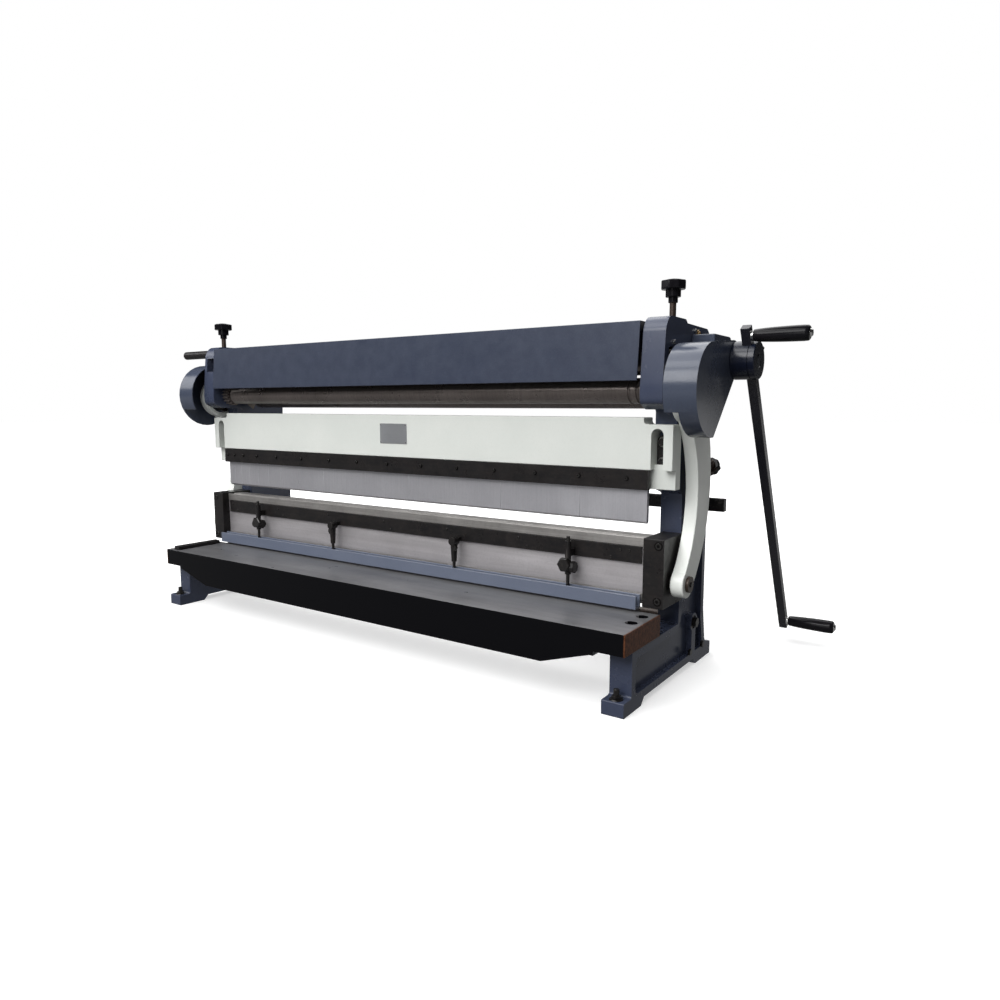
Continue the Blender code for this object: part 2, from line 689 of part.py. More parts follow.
def make_frame(side):
    name = "left_frame" if side < 0 else "right_frame"
    xs = sorted((side * INNER, side * OUTER))
    through = (xs[0] - OVERRUN, xs[1] + OVERRUN)
    frame = plate(name, frame_outline(), "YZ", *xs)
    cut(frame, frame_pocket(side))
    lug_front = -COVER_LUG_FRONT
    lug_top = TOP_COVER_TOP - TOP_COVER_SHEET - FIT
    fuse(frame, box("cover_lug", (side * (INNER - COVER_LUG_LENGTH), side * (INNER + FRAME_POCKET)),
                    (lug_front, lug_front + COVER_LUG_DEPTH), (lug_top - COVER_LUG_HEIGHT, lug_top)))
    roll_axis = upper_roll_axis()
    screw_x = side * TOP_SCREW_PLACE
    half = BLOCK_WIDTH / 2 + FIT
    slot_low = roll_axis.z - BLOCK_HEIGHT / 2 - BLOCK_TRAVEL / 2
    slot_high = roll_axis.z + BLOCK_HEIGHT / 2 + BLOCK_TRAVEL / 2
    rear = rear_direction()
    rear_exit = Vector((side * MIDDLE, REAR_KNOB_BACK, REAR_KNOB_HEIGHT))
    rear_inside = Vector((side * MIDDLE, REAR_ROLL_BACK, REAR_ROLL_HEIGHT))
    cut(frame,
        cross_rod("journal_bore", through, (-SHAFT_FRONT, SHAFT_HEIGHT), SHAFT_RADIUS + RUN),
        box("block_slot", through, (-SHAFT_FRONT - half, -SHAFT_FRONT + half), (slot_low, slot_high)),
        rod("screw_hole", (screw_x, -TOP_SCREW_FRONT, roll_axis.z),
            (screw_x, -TOP_SCREW_FRONT, HEAD_TOP + OVERRUN), TOP_SCREW_RADIUS + RUN),
        slanted_block("rear_slot", through, BLOCK_HEIGHT / 2 + FIT, BLOCK_WIDTH / 2 + FIT,
                      BLOCK_WIDTH / 2 + REAR_TRAVEL + FIT),
        rod("rear_screw_hole", rear_exit, rear_inside, REAR_SCREW_RADIUS + RUN),
        cross_rod("tie_bore", through, (TIE_ROD_BACK, TIE_ROD_HEIGHT), TIE_ROD_RADIUS + FIT),
        rod("stop_rod_hole", (side * MIDDLE, STOP_ROD_START, STOP_MIDDLE),
            (side * MIDDLE, COLUMN_BACK + OVERRUN, STOP_MIDDLE), STOP_ROD_RADIUS + RUN))
    for toe in (-FOOT_FRONT + TOE_FRONT / 2, FOOT_BACK - TOE_BACK / 2):
        cut(frame, rod("foot_hole", (side * MIDDLE, toe, -OVERRUN),
                       (side * MIDDLE, toe, TABLE_BOTTOM / 2), BOLT_HOLE_RADIUS, sides=SIDES // 2))
    if side < 0:
        cut(frame,
            box("head_window", (-OUTER + OVERRUN, -INNER + OVERRUN),
                (-HEAD_FRONT - OVERRUN, -SHAFT_FRONT),
                (SHAFT_HEIGHT + WINDOW_RISE, SHAFT_HEIGHT + WINDOW_RISE + WINDOW_HEIGHT)),
            rod("release_hole", (-OUTER - OVERRUN, -RELEASE_FRONT, RELEASE_HEIGHT),
                (-OUTER + FRAME_THICK / 2, -RELEASE_FRONT, RELEASE_HEIGHT), RELEASE_RADIUS + FIT))
    return finish(frame, PAINT_DARK, 0.25)


# Table

def make_table():
    half = TABLE_HALF
    end = RAM_HALF - FRAME_FILLET
    bottom = TABLE_BOTTOM - SKIRT_DROP
    corner_back = -END_BLOCK_FRONT - EDGE
    table = plate("work_table", [
        (-TABLE_FRONT, bottom), (-TABLE_FRONT + SKIRT_THICK, bottom),
        (-TABLE_FRONT + SKIRT_THICK, TABLE_BOTTOM), (-TABLE_BACK, TABLE_BOTTOM),
        (-TABLE_BACK, TABLE_TOP), (-TABLE_FRONT, TABLE_TOP),
    ], "YZ", -half, half)
    wide = half - SKIRT_END
    narrow = wide - SKIRT_SLOPE
    low = bottom - OVERRUN
    for side in (-1, 1):
        # Each end of the skirt slopes up to a small step under the table's end.
        cut(table,
            plate("skirt_end", [
                (side * (half + OVERRUN), low), (side * (narrow - OVERRUN), low),
                (side * narrow, bottom), (side * (wide - SKIRT_STEP), TABLE_BOTTOM - SKIRT_STEP),
                (side * wide, TABLE_BOTTOM - SKIRT_STEP), (side * wide, TABLE_BOTTOM),
                (side * (half + OVERRUN), TABLE_BOTTOM),
            ], "XZ", -TABLE_FRONT - OVERRUN, -TABLE_FRONT + SKIRT_THICK + FIT),
            box("table_corner", (side * end, side * (half + OVERRUN)),
                (corner_back, -TABLE_BACK + OVERRUN), (TABLE_BOTTOM - OVERRUN, TABLE_TOP + OVERRUN)))
        for place in (TABLE_BOLT_FRONT, TABLE_BOLT_FRONT - TABLE_BOLT_PITCH):
            x = side * MIDDLE
            cut(table,
                rod("counterbore", (x, -place, TABLE_TOP - COUNTERBORE_DEPTH),
                    (x, -place, TABLE_TOP + OVERRUN), COUNTERBORE_RADIUS, sides=SIDES // 2),
                rod("table_bolt_hole", (x, -place, TABLE_BOTTOM - OVERRUN), (x, -place, TABLE_TOP),
                    TABLE_BOLT_RADIUS, sides=SIDES // 2))
    finish(table, GROUND_STEEL, 0.4, 1.0)
    blade_back = -TABLE_BACK + FIT + LOWER_BLADE_THICK
    blade = box("lower_blade", (-end, end), (-TABLE_BACK + FIT, blade_back),
                (TABLE_TOP - LOWER_BLADE_HEIGHT, TABLE_TOP))
    finish(blade, BRIGHT_STEEL, 0.3, 1.0)
    fence_back = -HOLD_FRONT - FENCE_HEIGHT / 2
    fence_side = -INNER - EDGE / 2
    fence_low = TABLE_TOP + FIT
    fence = box("squaring_fence", (fence_side - FENCE_WIDTH, fence_side),
                (fence_back - FENCE_LENGTH, fence_back), (fence_low, fence_low + FENCE_HEIGHT))
    ease_edges(fence, EDGE / 2)
    finish(fence, BLACK_OXIDE, 0.35, 0.6)


# Ram

def make_ram():
    half = RAM_HALF
    blade_top = TABLE_TOP + SHEAR_OPENING + BLADE_HEIGHT
    rebate = -BLADE_FRONT + BLADE_THICK + FIT
    ram = plate("ram", [
        (-RAM_FRONT, RAM_TOP), (-RAM_FRONT, blade_top + FIT), (rebate, blade_top + FIT),
        (rebate, RAM_BOTTOM), (-RAM_BACK, RAM_BOTTOM), (-RAM_BACK, RAM_TOP),
    ], "YZ", -half, half)
    finish(ram, GROUND_STEEL, 0.35, 1.0)
    blade = box("upper_blade", (-half, half), (-BLADE_FRONT, -BLADE_FRONT + BLADE_THICK),
                (blade_top - BLADE_HEIGHT, blade_top))
    finish(blade, BRIGHT_STEEL, 0.3, 1.0)
    tip = finger_tip()
    low = RAM_TOP + FIT
    high = DIE_TOP
    die = plate("bottom_die", [
        (-BLADE_FRONT, low), (-RAM_BACK, low), (-RAM_BACK, high), (tip + DIE_GROOVE_WIDTH / 2, high),
        (tip, high - DIE_GROOVE_DEPTH), (tip - DIE_GROOVE_WIDTH / 2, high), (-BLADE_FRONT, high),
    ], "YZ", -half, half)
    finish(die, GROUND_STEEL, 0.4, 1.0)
    bar = box("ram_front_bar", (-half + BAR_INSET, half - BAR_INSET),
              (-RAM_FRONT - FIT - BAR_THICK, -RAM_FRONT - FIT), (RAM_TOP - BAR_HEIGHT, RAM_TOP))
    finish(bar, BLACK_OXIDE, 0.35, 0.6)
    ends = [make_ram_end(side) for side in (-1, 1)]
    return [ram, blade, die, bar, *ends]


def make_ram_end(side):
    # A block in front of the frame's guide face, with a gib that reaches back along the frame's side.
    name = "ram_end_left" if side < 0 else "ram_end_right"
    inner = RAM_HALF + FIT
    outer = OUTER + END_BLOCK_LAP
    block = plate(name, rounded([
        (-END_BLOCK_FRONT, END_BLOCK_BOTTOM, EDGE), (-FIT, END_BLOCK_BOTTOM, 0),
        (-FIT, END_BLOCK_TOP, 0), (-END_BLOCK_FRONT, END_BLOCK_TOP, EDGE),
    ]), "YZ", *sorted((side * inner, side * outer)))
    gib = plate("gib", rounded([
        (-OVERRUN, END_BLOCK_BOTTOM + EDGE, 0), (GIB_LENGTH, END_BLOCK_BOTTOM + GIB_LENGTH / 2, EDGE),
        (GIB_LENGTH, END_BLOCK_TOP - GIB_LENGTH, EDGE), (-OVERRUN, END_BLOCK_TOP - EDGE, 0),
    ]), "YZ", *sorted((side * (OUTER + FIT), side * (outer - FIT))))
    pin_start = side * (outer - OVERRUN)
    pin_neck = side * (outer + ARM_OFFSET / 2)
    where = (-ARM_PIVOT_FRONT, ARM_PIVOT_HEIGHT)
    fuse(block, gib,
         cross_rod("pin_collar", (pin_start, pin_neck), where, PIVOT_HEAD_RADIUS),
         cross_rod("pivot_pin", (pin_start, side * (ARM_OUTER + FIT + EDGE)), where, ARM_PIVOT_RADIUS),
         cross_rod("pivot_head", (side * (ARM_OUTER + FIT), side * (ARM_OUTER + FIT + PIVOT_HEAD_THICK)),
                   where, PIVOT_HEAD_RADIUS))
    return finish(block, BLACK_OXIDE, 0.4, 0.6)


# Hold-down and plungers

def make_hold_down():
    low, high = HOLD_BOTTOM, HOLD_TOP
    front, back = -HOLD_FRONT, -HOLD_BACK
    channel = plate("hold_down", [
        (front, low), (back, low), (back, high), (back - HOLD_WALL, high),
        (back - HOLD_WALL, low + HOLD_WALL), (front + HOLD_WALL, low + HOLD_WALL),
        (front + HOLD_WALL, high), (front, high),
    ], "YZ", -INNER + FIT, INNER - FIT)
    for place in (-LARGE_PLUNGER_PLACE, LARGE_PLUNGER_PLACE):
        fuse(channel, rod("large_rod", (place, -PLUNGER_FRONT, low + HOLD_WALL / 2),
                          (place, -PLUNGER_FRONT, RAM_TOP + LARGE_ROD_OVER), PLUNGER_ROD_RADIUS,
                          sides=SIDES // 2))
    for place in (-SMALL_PLUNGER_PLACE, SMALL_PLUNGER_PLACE):
        fuse(channel, rod("small_rod", (place, -PLUNGER_FRONT, low + HOLD_WALL / 2),
                          (place, -PLUNGER_FRONT, RAM_TOP - BAR_HEIGHT - SMALL_EYE_RADIUS),
                          PLUNGER_ROD_RADIUS, sides=SIDES // 2))
    return finish(channel, PAINT_LIGHT, 0.35)


def sleeve_bore(place, low, high):
    return rod("sleeve_bore", (place, -PLUNGER_FRONT, low), (place, -PLUNGER_FRONT, high),
               PLUNGER_ROD_RADIUS + RUN, sides=SIDES // 2)


def make_large_plunger(name, place):
    # A sleeve hung on the ram's bar, with a cross clamp: a plain head on one side, a knob on the other.
    face = -RAM_FRONT - BAR_THICK - FIT * 2
    front = -PLUNGER_FRONT
    top = RAM_TOP
    low = HOLD_TOP + LARGE_SLEEVE_RISE
    clamp = HOLD_TOP + CLAMP_RISE
    sleeve = rod(name, (place, front, low), (place, front, top), LARGE_SLEEVE_RADIUS, sides=SIDES // 2)
    knob = star_knob("clamp_knob", CLAMP_KNOB_RADIUS, KNOB_LOBE_DEPTH / 2, CLAMP_KNOB_WIDTH,
                     (place + LARGE_SLEEVE_RADIUS + EDGE / 2, front, clamp), (1, 0, 0))
    fuse(sleeve,
         box("sleeve_lug", (place - LUG_WIDTH / 2, place + LUG_WIDTH / 2), (front, face),
             (top - BAR_HEIGHT + EDGE, top - BAR_HEIGHT + EDGE + LUG_HEIGHT)),
         rod("clamp_hub", (place - CLAMP_HUB_WIDTH / 2, front, clamp),
             (place + CLAMP_HUB_WIDTH / 2, front, clamp), CLAMP_HUB_RADIUS, sides=SIDES // 2),
         rod("clamp_head", (place - CLAMP_HUB_WIDTH / 2 - CLAMP_KNOB_WIDTH / 2, front, clamp),
             (place - CLAMP_HUB_WIDTH / 4, front, clamp), CLAMP_KNOB_RADIUS, sides=SIDES // 2),
         knob)
    cut(sleeve, sleeve_bore(place, low - OVERRUN, top + OVERRUN))
    return finish(sleeve, BLACK_OXIDE, 0.35, 0.5)


def make_small_plunger(name, place):
    # A tapered spring sleeve below a round eye.
    face = -RAM_FRONT - BAR_THICK - FIT * 2
    front = -PLUNGER_FRONT
    eye = RAM_TOP - BAR_HEIGHT + EDGE
    low = HOLD_TOP + SMALL_SLEEVE_RISE
    sleeve = rod(name, (place, front, low), (place, front, eye - SMALL_EYE_RADIUS / 2),
                 SMALL_SLEEVE_TAPER, SMALL_SLEEVE_RADIUS, sides=SIDES // 2)
    fuse(sleeve,
         rod("sleeve_eye", (place, front - SMALL_EYE_RADIUS, eye),
             (place, front + SMALL_EYE_RADIUS, eye), SMALL_EYE_RADIUS, sides=SIDES // 2),
         box("sleeve_lug", (place - LUG_WIDTH / 2, place + LUG_WIDTH / 2), (front, face),
             (eye - EDGE, eye + SMALL_EYE_RADIUS - EDGE)))
    cut(sleeve, sleeve_bore(place, low - OVERRUN, eye + SMALL_EYE_RADIUS + OVERRUN))
    return finish(sleeve, BLACK_OXIDE, 0.35, 0.5)


def make_plungers():
    return [
        make_large_plunger("clamp_plunger_left", -LARGE_PLUNGER_PLACE),
        make_large_plunger("clamp_plunger_right", LARGE_PLUNGER_PLACE),
        make_small_plunger("spring_plunger_left", -SMALL_PLUNGER_PLACE),
        make_small_plunger("spring_plunger_right", SMALL_PLUNGER_PLACE),
    ]


# Upper beam

def beam_slot(side):
    x = side * MIDDLE
    r = BEAM_SLOT_RADIUS
    low = BEAM_LIP_BOTTOM - OVERRUN
    high = BEAM_END_TOP - BEAM_SLOT_BRIDGE
    outline = [(x - r, low), (x + r, low), *arc((x, high - r), r, 0, math.pi, ARC_STEPS * 3)]
    return plate("beam_slot", outline, "XZ", -BEAM_FRONT - OVERRUN, -BEAM_SEAT + OVERRUN)


def make_beam():
    half = OUTER + BEAM_OVERHANG
    body = INNER - BEAM_STEP_INSET
    beam = plate("upper_beam", rounded([
        (-half, BEAM_BOTTOM, 0), (half, BEAM_BOTTOM, 0), (half, BEAM_END_TOP, EDGE),
        (body, BEAM_END_TOP, BEAM_FILLET), (body, BEAM_TOP, EDGE), (-body, BEAM_TOP, EDGE),
        (-body, BEAM_END_TOP, BEAM_FILLET), (-half, BEAM_END_TOP, EDGE),
    ]), "XZ", -BEAM_FRONT, -BEAM_SEAT - FIT)
    lip_front = -FINGER_FRONT + FINGER_THICK + FIT
    # The lip runs on behind the open ends of the two bolt slots.
    cut(beam, beam_slot(-1), beam_slot(1))
    fuse(beam, box("lip", (-half, half), (lip_front, -BEAM_SEAT - FIT),
                   (BEAM_LIP_BOTTOM, BEAM_BOTTOM + OVERRUN)))
    finish(beam, PAINT_PALE, 0.35)
    top = BEAM_BOTTOM - FIT
    back = -FINGER_FRONT - FIT
    bar = box("clamp_bar", (-RAM_HALF, RAM_HALF), (back - CLAMP_BAR_THICK, back), (THROAT_TOP, top))
    finish(bar, BLACK_OXIDE, 0.35, 0.6)


def finger_tip():
    return -FINGER_FRONT + FINGER_THICK * FINGER_TIP_SHARE


def make_fingers():
    top = BEAM_BOTTOM - FIT
    front = -FINGER_FRONT
    back = front + FINGER_THICK
    profile = [
        (front, top), (front, FINGER_BOTTOM + FINGER_NOSE), (finger_tip(), FINGER_BOTTOM),
        (back, FINGER_BOTTOM + FINGER_NOSE), (back, top),
    ]
    total = sum(FINGER_WIDTH_SHARES)
    left = -FINGER_PACK / 2
    for k, share in enumerate(FINGER_WIDTH_SHARES):
        width = FINGER_PACK * share / total
        finger = plate(f"finger_{k + 1:02d}", profile, "YZ", left + FIT / 2, left + width - FIT / 2)
        finish(finger, GROUND_STEEL, 0.3, 1.0)
        left += width


# Shaft, eccentrics, arms and rolls

def shaft_axis():
    return Vector((0, -SHAFT_FRONT, SHAFT_HEIGHT))


def upper_roll_axis():
    return shaft_axis() + Vector((0, 0, ROLL_RADIUS * 2 + ROLL_OPENING))


def eccentric_centre():
    throw = Vector((0, math.cos(ECCENTRIC_REST), math.sin(ECCENTRIC_REST))) * ECCENTRICITY
    return shaft_axis() + throw


def arm_eye():
    # The strap's centre lies a little ahead of the eccentric's, to share its clearance over the stroke.
    return eccentric_centre() - Vector((0, ARM_EYE_SHIFT, 0))


def involute(angle):
    return math.tan(angle) - angle


def gear_outline(centre, teeth, module, phase, backlash=BACKLASH):
    pitch = module * teeth / 2
    base = pitch * math.cos(PRESSURE_ANGLE)
    tip = pitch + module * ADDENDUM_SHARE
    root = pitch - module * DEDENDUM_SHARE
    half = math.pi / (2 * teeth) - backlash / (2 * pitch) + involute(PRESSURE_ANGLE)
    first = max(base, root)
    flank = []
    for share in FLANK_SHARES:
        r = first + (tip - first) * share
        flank.append((r, half - involute(math.acos(min(1, base / r)))))
    if root < base:
        flank.insert(0, (root, flank[0][1]))
    points = []
    for k in range(teeth):
        middle = phase + 2 * math.pi * k / teeth
        rising = [on_circle(centre.yz, r, middle - turn) for r, turn in flank]
        falling = [on_circle(centre.yz, r, middle + turn) for r, turn in reversed(flank)]
        points += rising + falling
    return points


def mesh_phase(centre, teeth, phase, other_centre, other_teeth):
    # The phase that puts a gap of the other gear over this gear's tooth, on the line of centres.
    line = math.atan2(other_centre.z - centre.z, other_centre.y - centre.y)
    return line + math.pi + math.pi / other_teeth + (line - phase) * teeth / other_teeth


def make_gear(name, centre, teeth, module, phase, xs, bore):
    gear = plate(name, gear_outline(centre, teeth, module, phase), "YZ", *xs)
    cut(gear, cross_rod("gear_bore", (xs[0] - OVERRUN, xs[1] + OVERRUN), centre.yz, bore))
    return gear


def roll_gear_module():
    # The roll gears mesh fully when the rolls are closed on thin sheet.
    return (ROLL_RADIUS * 2 + ROLL_CLOSED) / ROLL_GEAR_TEETH


def make_roll_gear(name, centre, phase):
    left = -INNER + (INNER - ROLL_LEFT_END - ROLL_GEAR_WIDTH) / 2
    return plate(name, gear_outline(centre, ROLL_GEAR_TEETH, roll_gear_module(), phase), "YZ",
                 left, left + ROLL_GEAR_WIDTH)


def roll_profile(left_tail, right_tail, tail_radius):
    # Journal, roll face with its wire grooves, journal.
    start = -left_tail
    profile = [(0, 0), (0, tail_radius)]
    profile += [(-ROLL_LEFT_END - start, tail_radius), (-ROLL_LEFT_END - start, ROLL_RADIUS)]
    for inset, depth in WIRE_GROOVES:
        for k in range(5):
            turn = math.pi * k / 4
            along = INNER - inset - start - depth * math.cos(turn)
            profile.append((along, ROLL_RADIUS - depth * math.sin(turn)))
    profile += [(ROLL_RIGHT_END - start, ROLL_RADIUS), (ROLL_RIGHT_END - start, tail_radius)]
    profile += [(right_tail - start, tail_radius), (right_tail - start, 0)]
    return profile


def make_lower_roll():
    axis = shaft_axis()
    roll = turned("lower_roll", roll_profile(SHAFT_END_LEFT, SHAFT_END_RIGHT, SHAFT_RADIUS),
                  (-SHAFT_END_LEFT, axis.y, axis.z), (1, 0, 0), FINE_SIDES)
    fuse(roll, make_roll_gear("lower_roll_gear", axis, math.pi / 2))
    finish(roll, DARK_STEEL, 0.35, 1.0)
    pieces = [roll]
    centre = eccentric_centre()
    for side, name in ((-1, "left"), (1, "right")):
        near = OUTER + ARM_OFFSET
        disc = cross_rod(f"eccentric_{name}", (side * near, side * (near + ARM_THICK)), centre.yz,
                         ECCENTRIC_RADIUS, sides=FINE_SIDES)
        bore = (side * (near - OVERRUN), side * (near + ARM_THICK + OVERRUN))
        cut(disc, cross_rod("eccentric_bore", bore, axis.yz, SHAFT_RADIUS + FIT))
        pieces.append(finish(disc, DARK_STEEL, 0.4, 1.0))
    gear = make_gear("main_gear", axis, MAIN_TEETH, GEAR_MODULE, 0, (GEAR_START, GEAR_START + GEAR_WIDTH),
                     SHAFT_RADIUS + FIT)
    face = GEAR_START + GEAR_WIDTH
    rim = GEAR_MODULE * MAIN_TEETH / 2 - GEAR_MODULE * 4
    deep = GEAR_WEB + OVERRUN
    hollow = [(0, GEAR_BOSS_RADIUS), (0, rim), (deep, rim), (deep, GEAR_BOSS_RADIUS)]
    cut(gear, turned("gear_hollow", hollow, (face - GEAR_WEB, axis.y, axis.z), (1, 0, 0)))
    pieces.append(finish(gear, DARK_STEEL, 0.5, 1.0))
    return pieces


def make_arm(side):
    # A banana-shaped arm: two arcs about one centre line, a foot eye and a strap eye.
    name = "link_arm_left" if side < 0 else "link_arm_right"
    foot = Vector((-ARM_PIVOT_FRONT, ARM_PIVOT_HEIGHT))
    eye3 = arm_eye()
    eye = Vector((eye3.y, eye3.z))
    chord = eye - foot
    reach = chord.length / 2
    radius = (reach ** 2 + ARM_BULGE ** 2) / (2 * ARM_BULGE)
    across = Vector((chord.y, -chord.x)).normalized()
    centre = foot + chord / 2 - across * (radius - ARM_BULGE)
    start = math.atan2(foot.y - centre.y, foot.x - centre.x)
    end = math.atan2(eye.y - centre.y, eye.x - centre.x)
    steps = ARC_STEPS * 4
    outer_edge = []
    inner_edge = []
    for k in range(steps + 1):
        share = k / steps
        angle = start + (end - start) * share
        half = ARM_HALF_BOTTOM + (ARM_HALF_TOP - ARM_HALF_BOTTOM) * share
        outer_edge.append(on_circle(centre, radius + half, angle))
        inner_edge.append(on_circle(centre, radius - half, angle))
    xs = sorted((side * (OUTER + ARM_OFFSET), side * (OUTER + ARM_OFFSET + ARM_THICK)))
    arm = plate(name, outer_edge + inner_edge[::-1], "YZ", *xs)
    fuse(arm,
         cross_rod("foot_eye", xs, foot, ARM_FOOT_RADIUS),
         cross_rod("strap_eye", xs, eye, ARM_EYE_RADIUS, sides=FINE_SIDES))
    bore = ECCENTRIC_RADIUS + ECCENTRIC_GAP
    cut(arm,
        rod("foot_bore", (xs[0] - OVERRUN, foot.x, foot.y), (xs[1] + OVERRUN, foot.x, foot.y),
            ARM_PIVOT_RADIUS + FIT),
        rod("strap_bore", (xs[0] - OVERRUN, eye.x, eye.y), (xs[1] + OVERRUN, eye.x, eye.y), bore,
            sides=FINE_SIDES))
    ease_edges(arm, EDGE)
    return finish(arm, PAINT_PALE, 0.35)


def make_upper_roll():
    axis = upper_roll_axis()
    tail = OUTER - EDGE
    roll = turned("upper_roll", plain_roll_profile(tail), (-tail, *axis.yz), (1, 0, 0), FINE_SIDES)
    phase = mesh_phase(shaft_axis(), ROLL_GEAR_TEETH, math.pi / 2, axis, ROLL_GEAR_TEETH)
    fuse(roll, make_roll_gear("upper_roll_gear", axis, phase))
    return finish(roll, DARK_STEEL, 0.35, 1.0)


def plain_roll_profile(tail):
    return [
        (0, 0), (0, JOURNAL_RADIUS), (tail - ROLL_LEFT_END, JOURNAL_RADIUS),
        (tail - ROLL_LEFT_END, ROLL_RADIUS), (tail + ROLL_RIGHT_END, ROLL_RADIUS),
        (tail + ROLL_RIGHT_END, JOURNAL_RADIUS), (tail * 2, JOURNAL_RADIUS), (tail * 2, 0),
    ]


def make_upper_block(side):
    name = "upper_bearing_left" if side < 0 else "upper_bearing_right"
    axis = upper_roll_axis()
    block = box(name, (side * (INNER + FIT), side * (OUTER - FIT)),
                (axis.y - BLOCK_WIDTH / 2, axis.y + BLOCK_WIDTH / 2),
                (axis.z - BLOCK_HEIGHT / 2, axis.z + BLOCK_HEIGHT / 2))
    cut(block, cross_rod("block_bore", (side * (INNER - OVERRUN), side * (OUTER + OVERRUN)), axis.yz,
                         JOURNAL_RADIUS + RUN))
    return finish(block, DARK_STEEL, 0.4, 1.0)


def make_top_knob(side):
    name = "top_knob_left" if side < 0 else "top_knob_right"
    x = side * TOP_SCREW_PLACE
    y = -TOP_SCREW_FRONT
    tier = KNOB_TOP - KNOB_HEIGHT
    neck = tier - KNOB_TIER_HEIGHT
    stem = neck - KNOB_NECK_HEIGHT
    foot = upper_roll_axis().z + BLOCK_HEIGHT / 2 + TOP_SCREW_GAP
    knob = turned(name, [
        (0, 0), (0, KNOB_CROWN_RADIUS), (KNOB_HEIGHT, KNOB_TIER_RADIUS),
        (KNOB_TOP - neck, KNOB_TIER_RADIUS), (KNOB_TOP - neck, KNOB_NECK_RADIUS),
        (KNOB_TOP - stem, KNOB_NECK_RADIUS),
        (KNOB_TOP - stem, TOP_SCREW_RADIUS), (KNOB_TOP - foot, TOP_SCREW_RADIUS), (KNOB_TOP - foot, 0),
    ], (x, y, KNOB_TOP), (0, 0, -1), SIDES // 2)
    fuse(knob, star_knob("knob_rim", KNOB_RADIUS, KNOB_LOBE_DEPTH, KNOB_HEIGHT - EDGE,
                         (x, y, tier), (0, 0, 1)))
    return finish(knob, BLACK_PLASTIC, 0.4)


def make_rear_roll():
    tail = OUTER - EDGE
    roll = turned("rear_roll", plain_roll_profile(tail), (-tail, REAR_ROLL_BACK, REAR_ROLL_HEIGHT),
                  (1, 0, 0), FINE_SIDES)
    return finish(roll, DARK_STEEL, 0.35, 1.0)


def make_rear_block(side):
    name = "rear_bearing_left" if side < 0 else "rear_bearing_right"
    block = slanted_block(name, (side * (INNER + FIT), side * (OUTER - FIT)), BLOCK_HEIGHT / 2,
                          BLOCK_WIDTH / 2, BLOCK_WIDTH / 2)
    cut(block, cross_rod("block_bore", (side * (INNER - OVERRUN), side * (OUTER + OVERRUN)),
                         (REAR_ROLL_BACK, REAR_ROLL_HEIGHT), JOURNAL_RADIUS + RUN))
    return finish(block, DARK_STEEL, 0.4, 1.0)


def make_rear_knob(side):
    name = "rear_knob_left" if side < 0 else "rear_knob_right"
    along = rear_direction()
    start = Vector((side * MIDDLE, REAR_KNOB_BACK, REAR_KNOB_HEIGHT))
    roll = Vector((side * MIDDLE, REAR_ROLL_BACK, REAR_ROLL_HEIGHT))
    length = (roll - start).length - BLOCK_WIDTH / 2 - FIT * 2
    screw = turned(name, [
        (0, 0), (0, KNOB_TIER_RADIUS), (REAR_KNOB_LENGTH, REAR_NECK_RADIUS),
        (REAR_KNOB_LENGTH, REAR_SCREW_RADIUS), (length, REAR_SCREW_RADIUS), (length, 0),
    ], start, along, SIDES // 2)
    fuse(screw, star_knob("rear_rim", REAR_KNOB_RADIUS, KNOB_LOBE_DEPTH, REAR_KNOB_THICK - EDGE,
                          start, along))
    return finish(screw, BLACK_PLASTIC, 0.4)


# Gear train

def pinion_axis():
    return Vector((0, PINION_BACK, PINION_HEIGHT))


def idler_axis():
    # Where the idler meshes with both neighbours, on the upper side of the line between them.
    first = GEAR_MODULE * (MAIN_TEETH + IDLER_TEETH) / 2
    second = GEAR_MODULE * (IDLER_TEETH + PINION_TEETH) / 2
    span = pinion_axis() - shaft_axis()
    distance = span.length
    share = (first ** 2 + distance ** 2 - second ** 2) / (2 * first * distance)
    angle = math.atan2(span.z, span.y) + math.acos(max(-1, min(1, share)))
    return shaft_axis() + Vector((0, math.cos(angle), math.sin(angle))) * first


def make_idler():
    axis = idler_axis()
    phase = mesh_phase(shaft_axis(), MAIN_TEETH, 0, axis, IDLER_TEETH)
    xs = (GEAR_START, GEAR_START + GEAR_WIDTH)
    gear = make_gear("idler_gear", axis, IDLER_TEETH, GEAR_MODULE, phase, xs, IDLER_PIN_RADIUS + RUN)
    return finish(gear, DARK_STEEL, 0.5, 1.0)


def make_pinion():
    axis = pinion_axis()
    first = mesh_phase(shaft_axis(), MAIN_TEETH, 0, idler_axis(), IDLER_TEETH)
    phase = mesh_phase(idler_axis(), IDLER_TEETH, first, axis, PINION_TEETH)
    pinion = plate("pinion_shaft", gear_outline(axis, PINION_TEETH, GEAR_MODULE, phase), "YZ",
                   GEAR_START, GEAR_START + GEAR_WIDTH)
    near = CRANK_BAR_PLACE - CRANK_BAR_SIZE / 2 - FIT
    fuse(pinion, cross_rod("shaft", (OUTER + EDGE, near - EDGE), axis.yz, PINION_SHAFT_RADIUS))
    return finish(pinion, DARK_STEEL, 0.4, 1.0)


# Covers

def tangent_points(centre_a, radius_a, centre_b, radius_b, sign):
    # The touching points of the outer tangent of two circles, above the line of centres or below it.
    span = centre_b - centre_a
    angle = math.atan2(span.y, span.x)
    turn = sign * math.acos((radius_a - radius_b) / span.length)
    return angle + turn


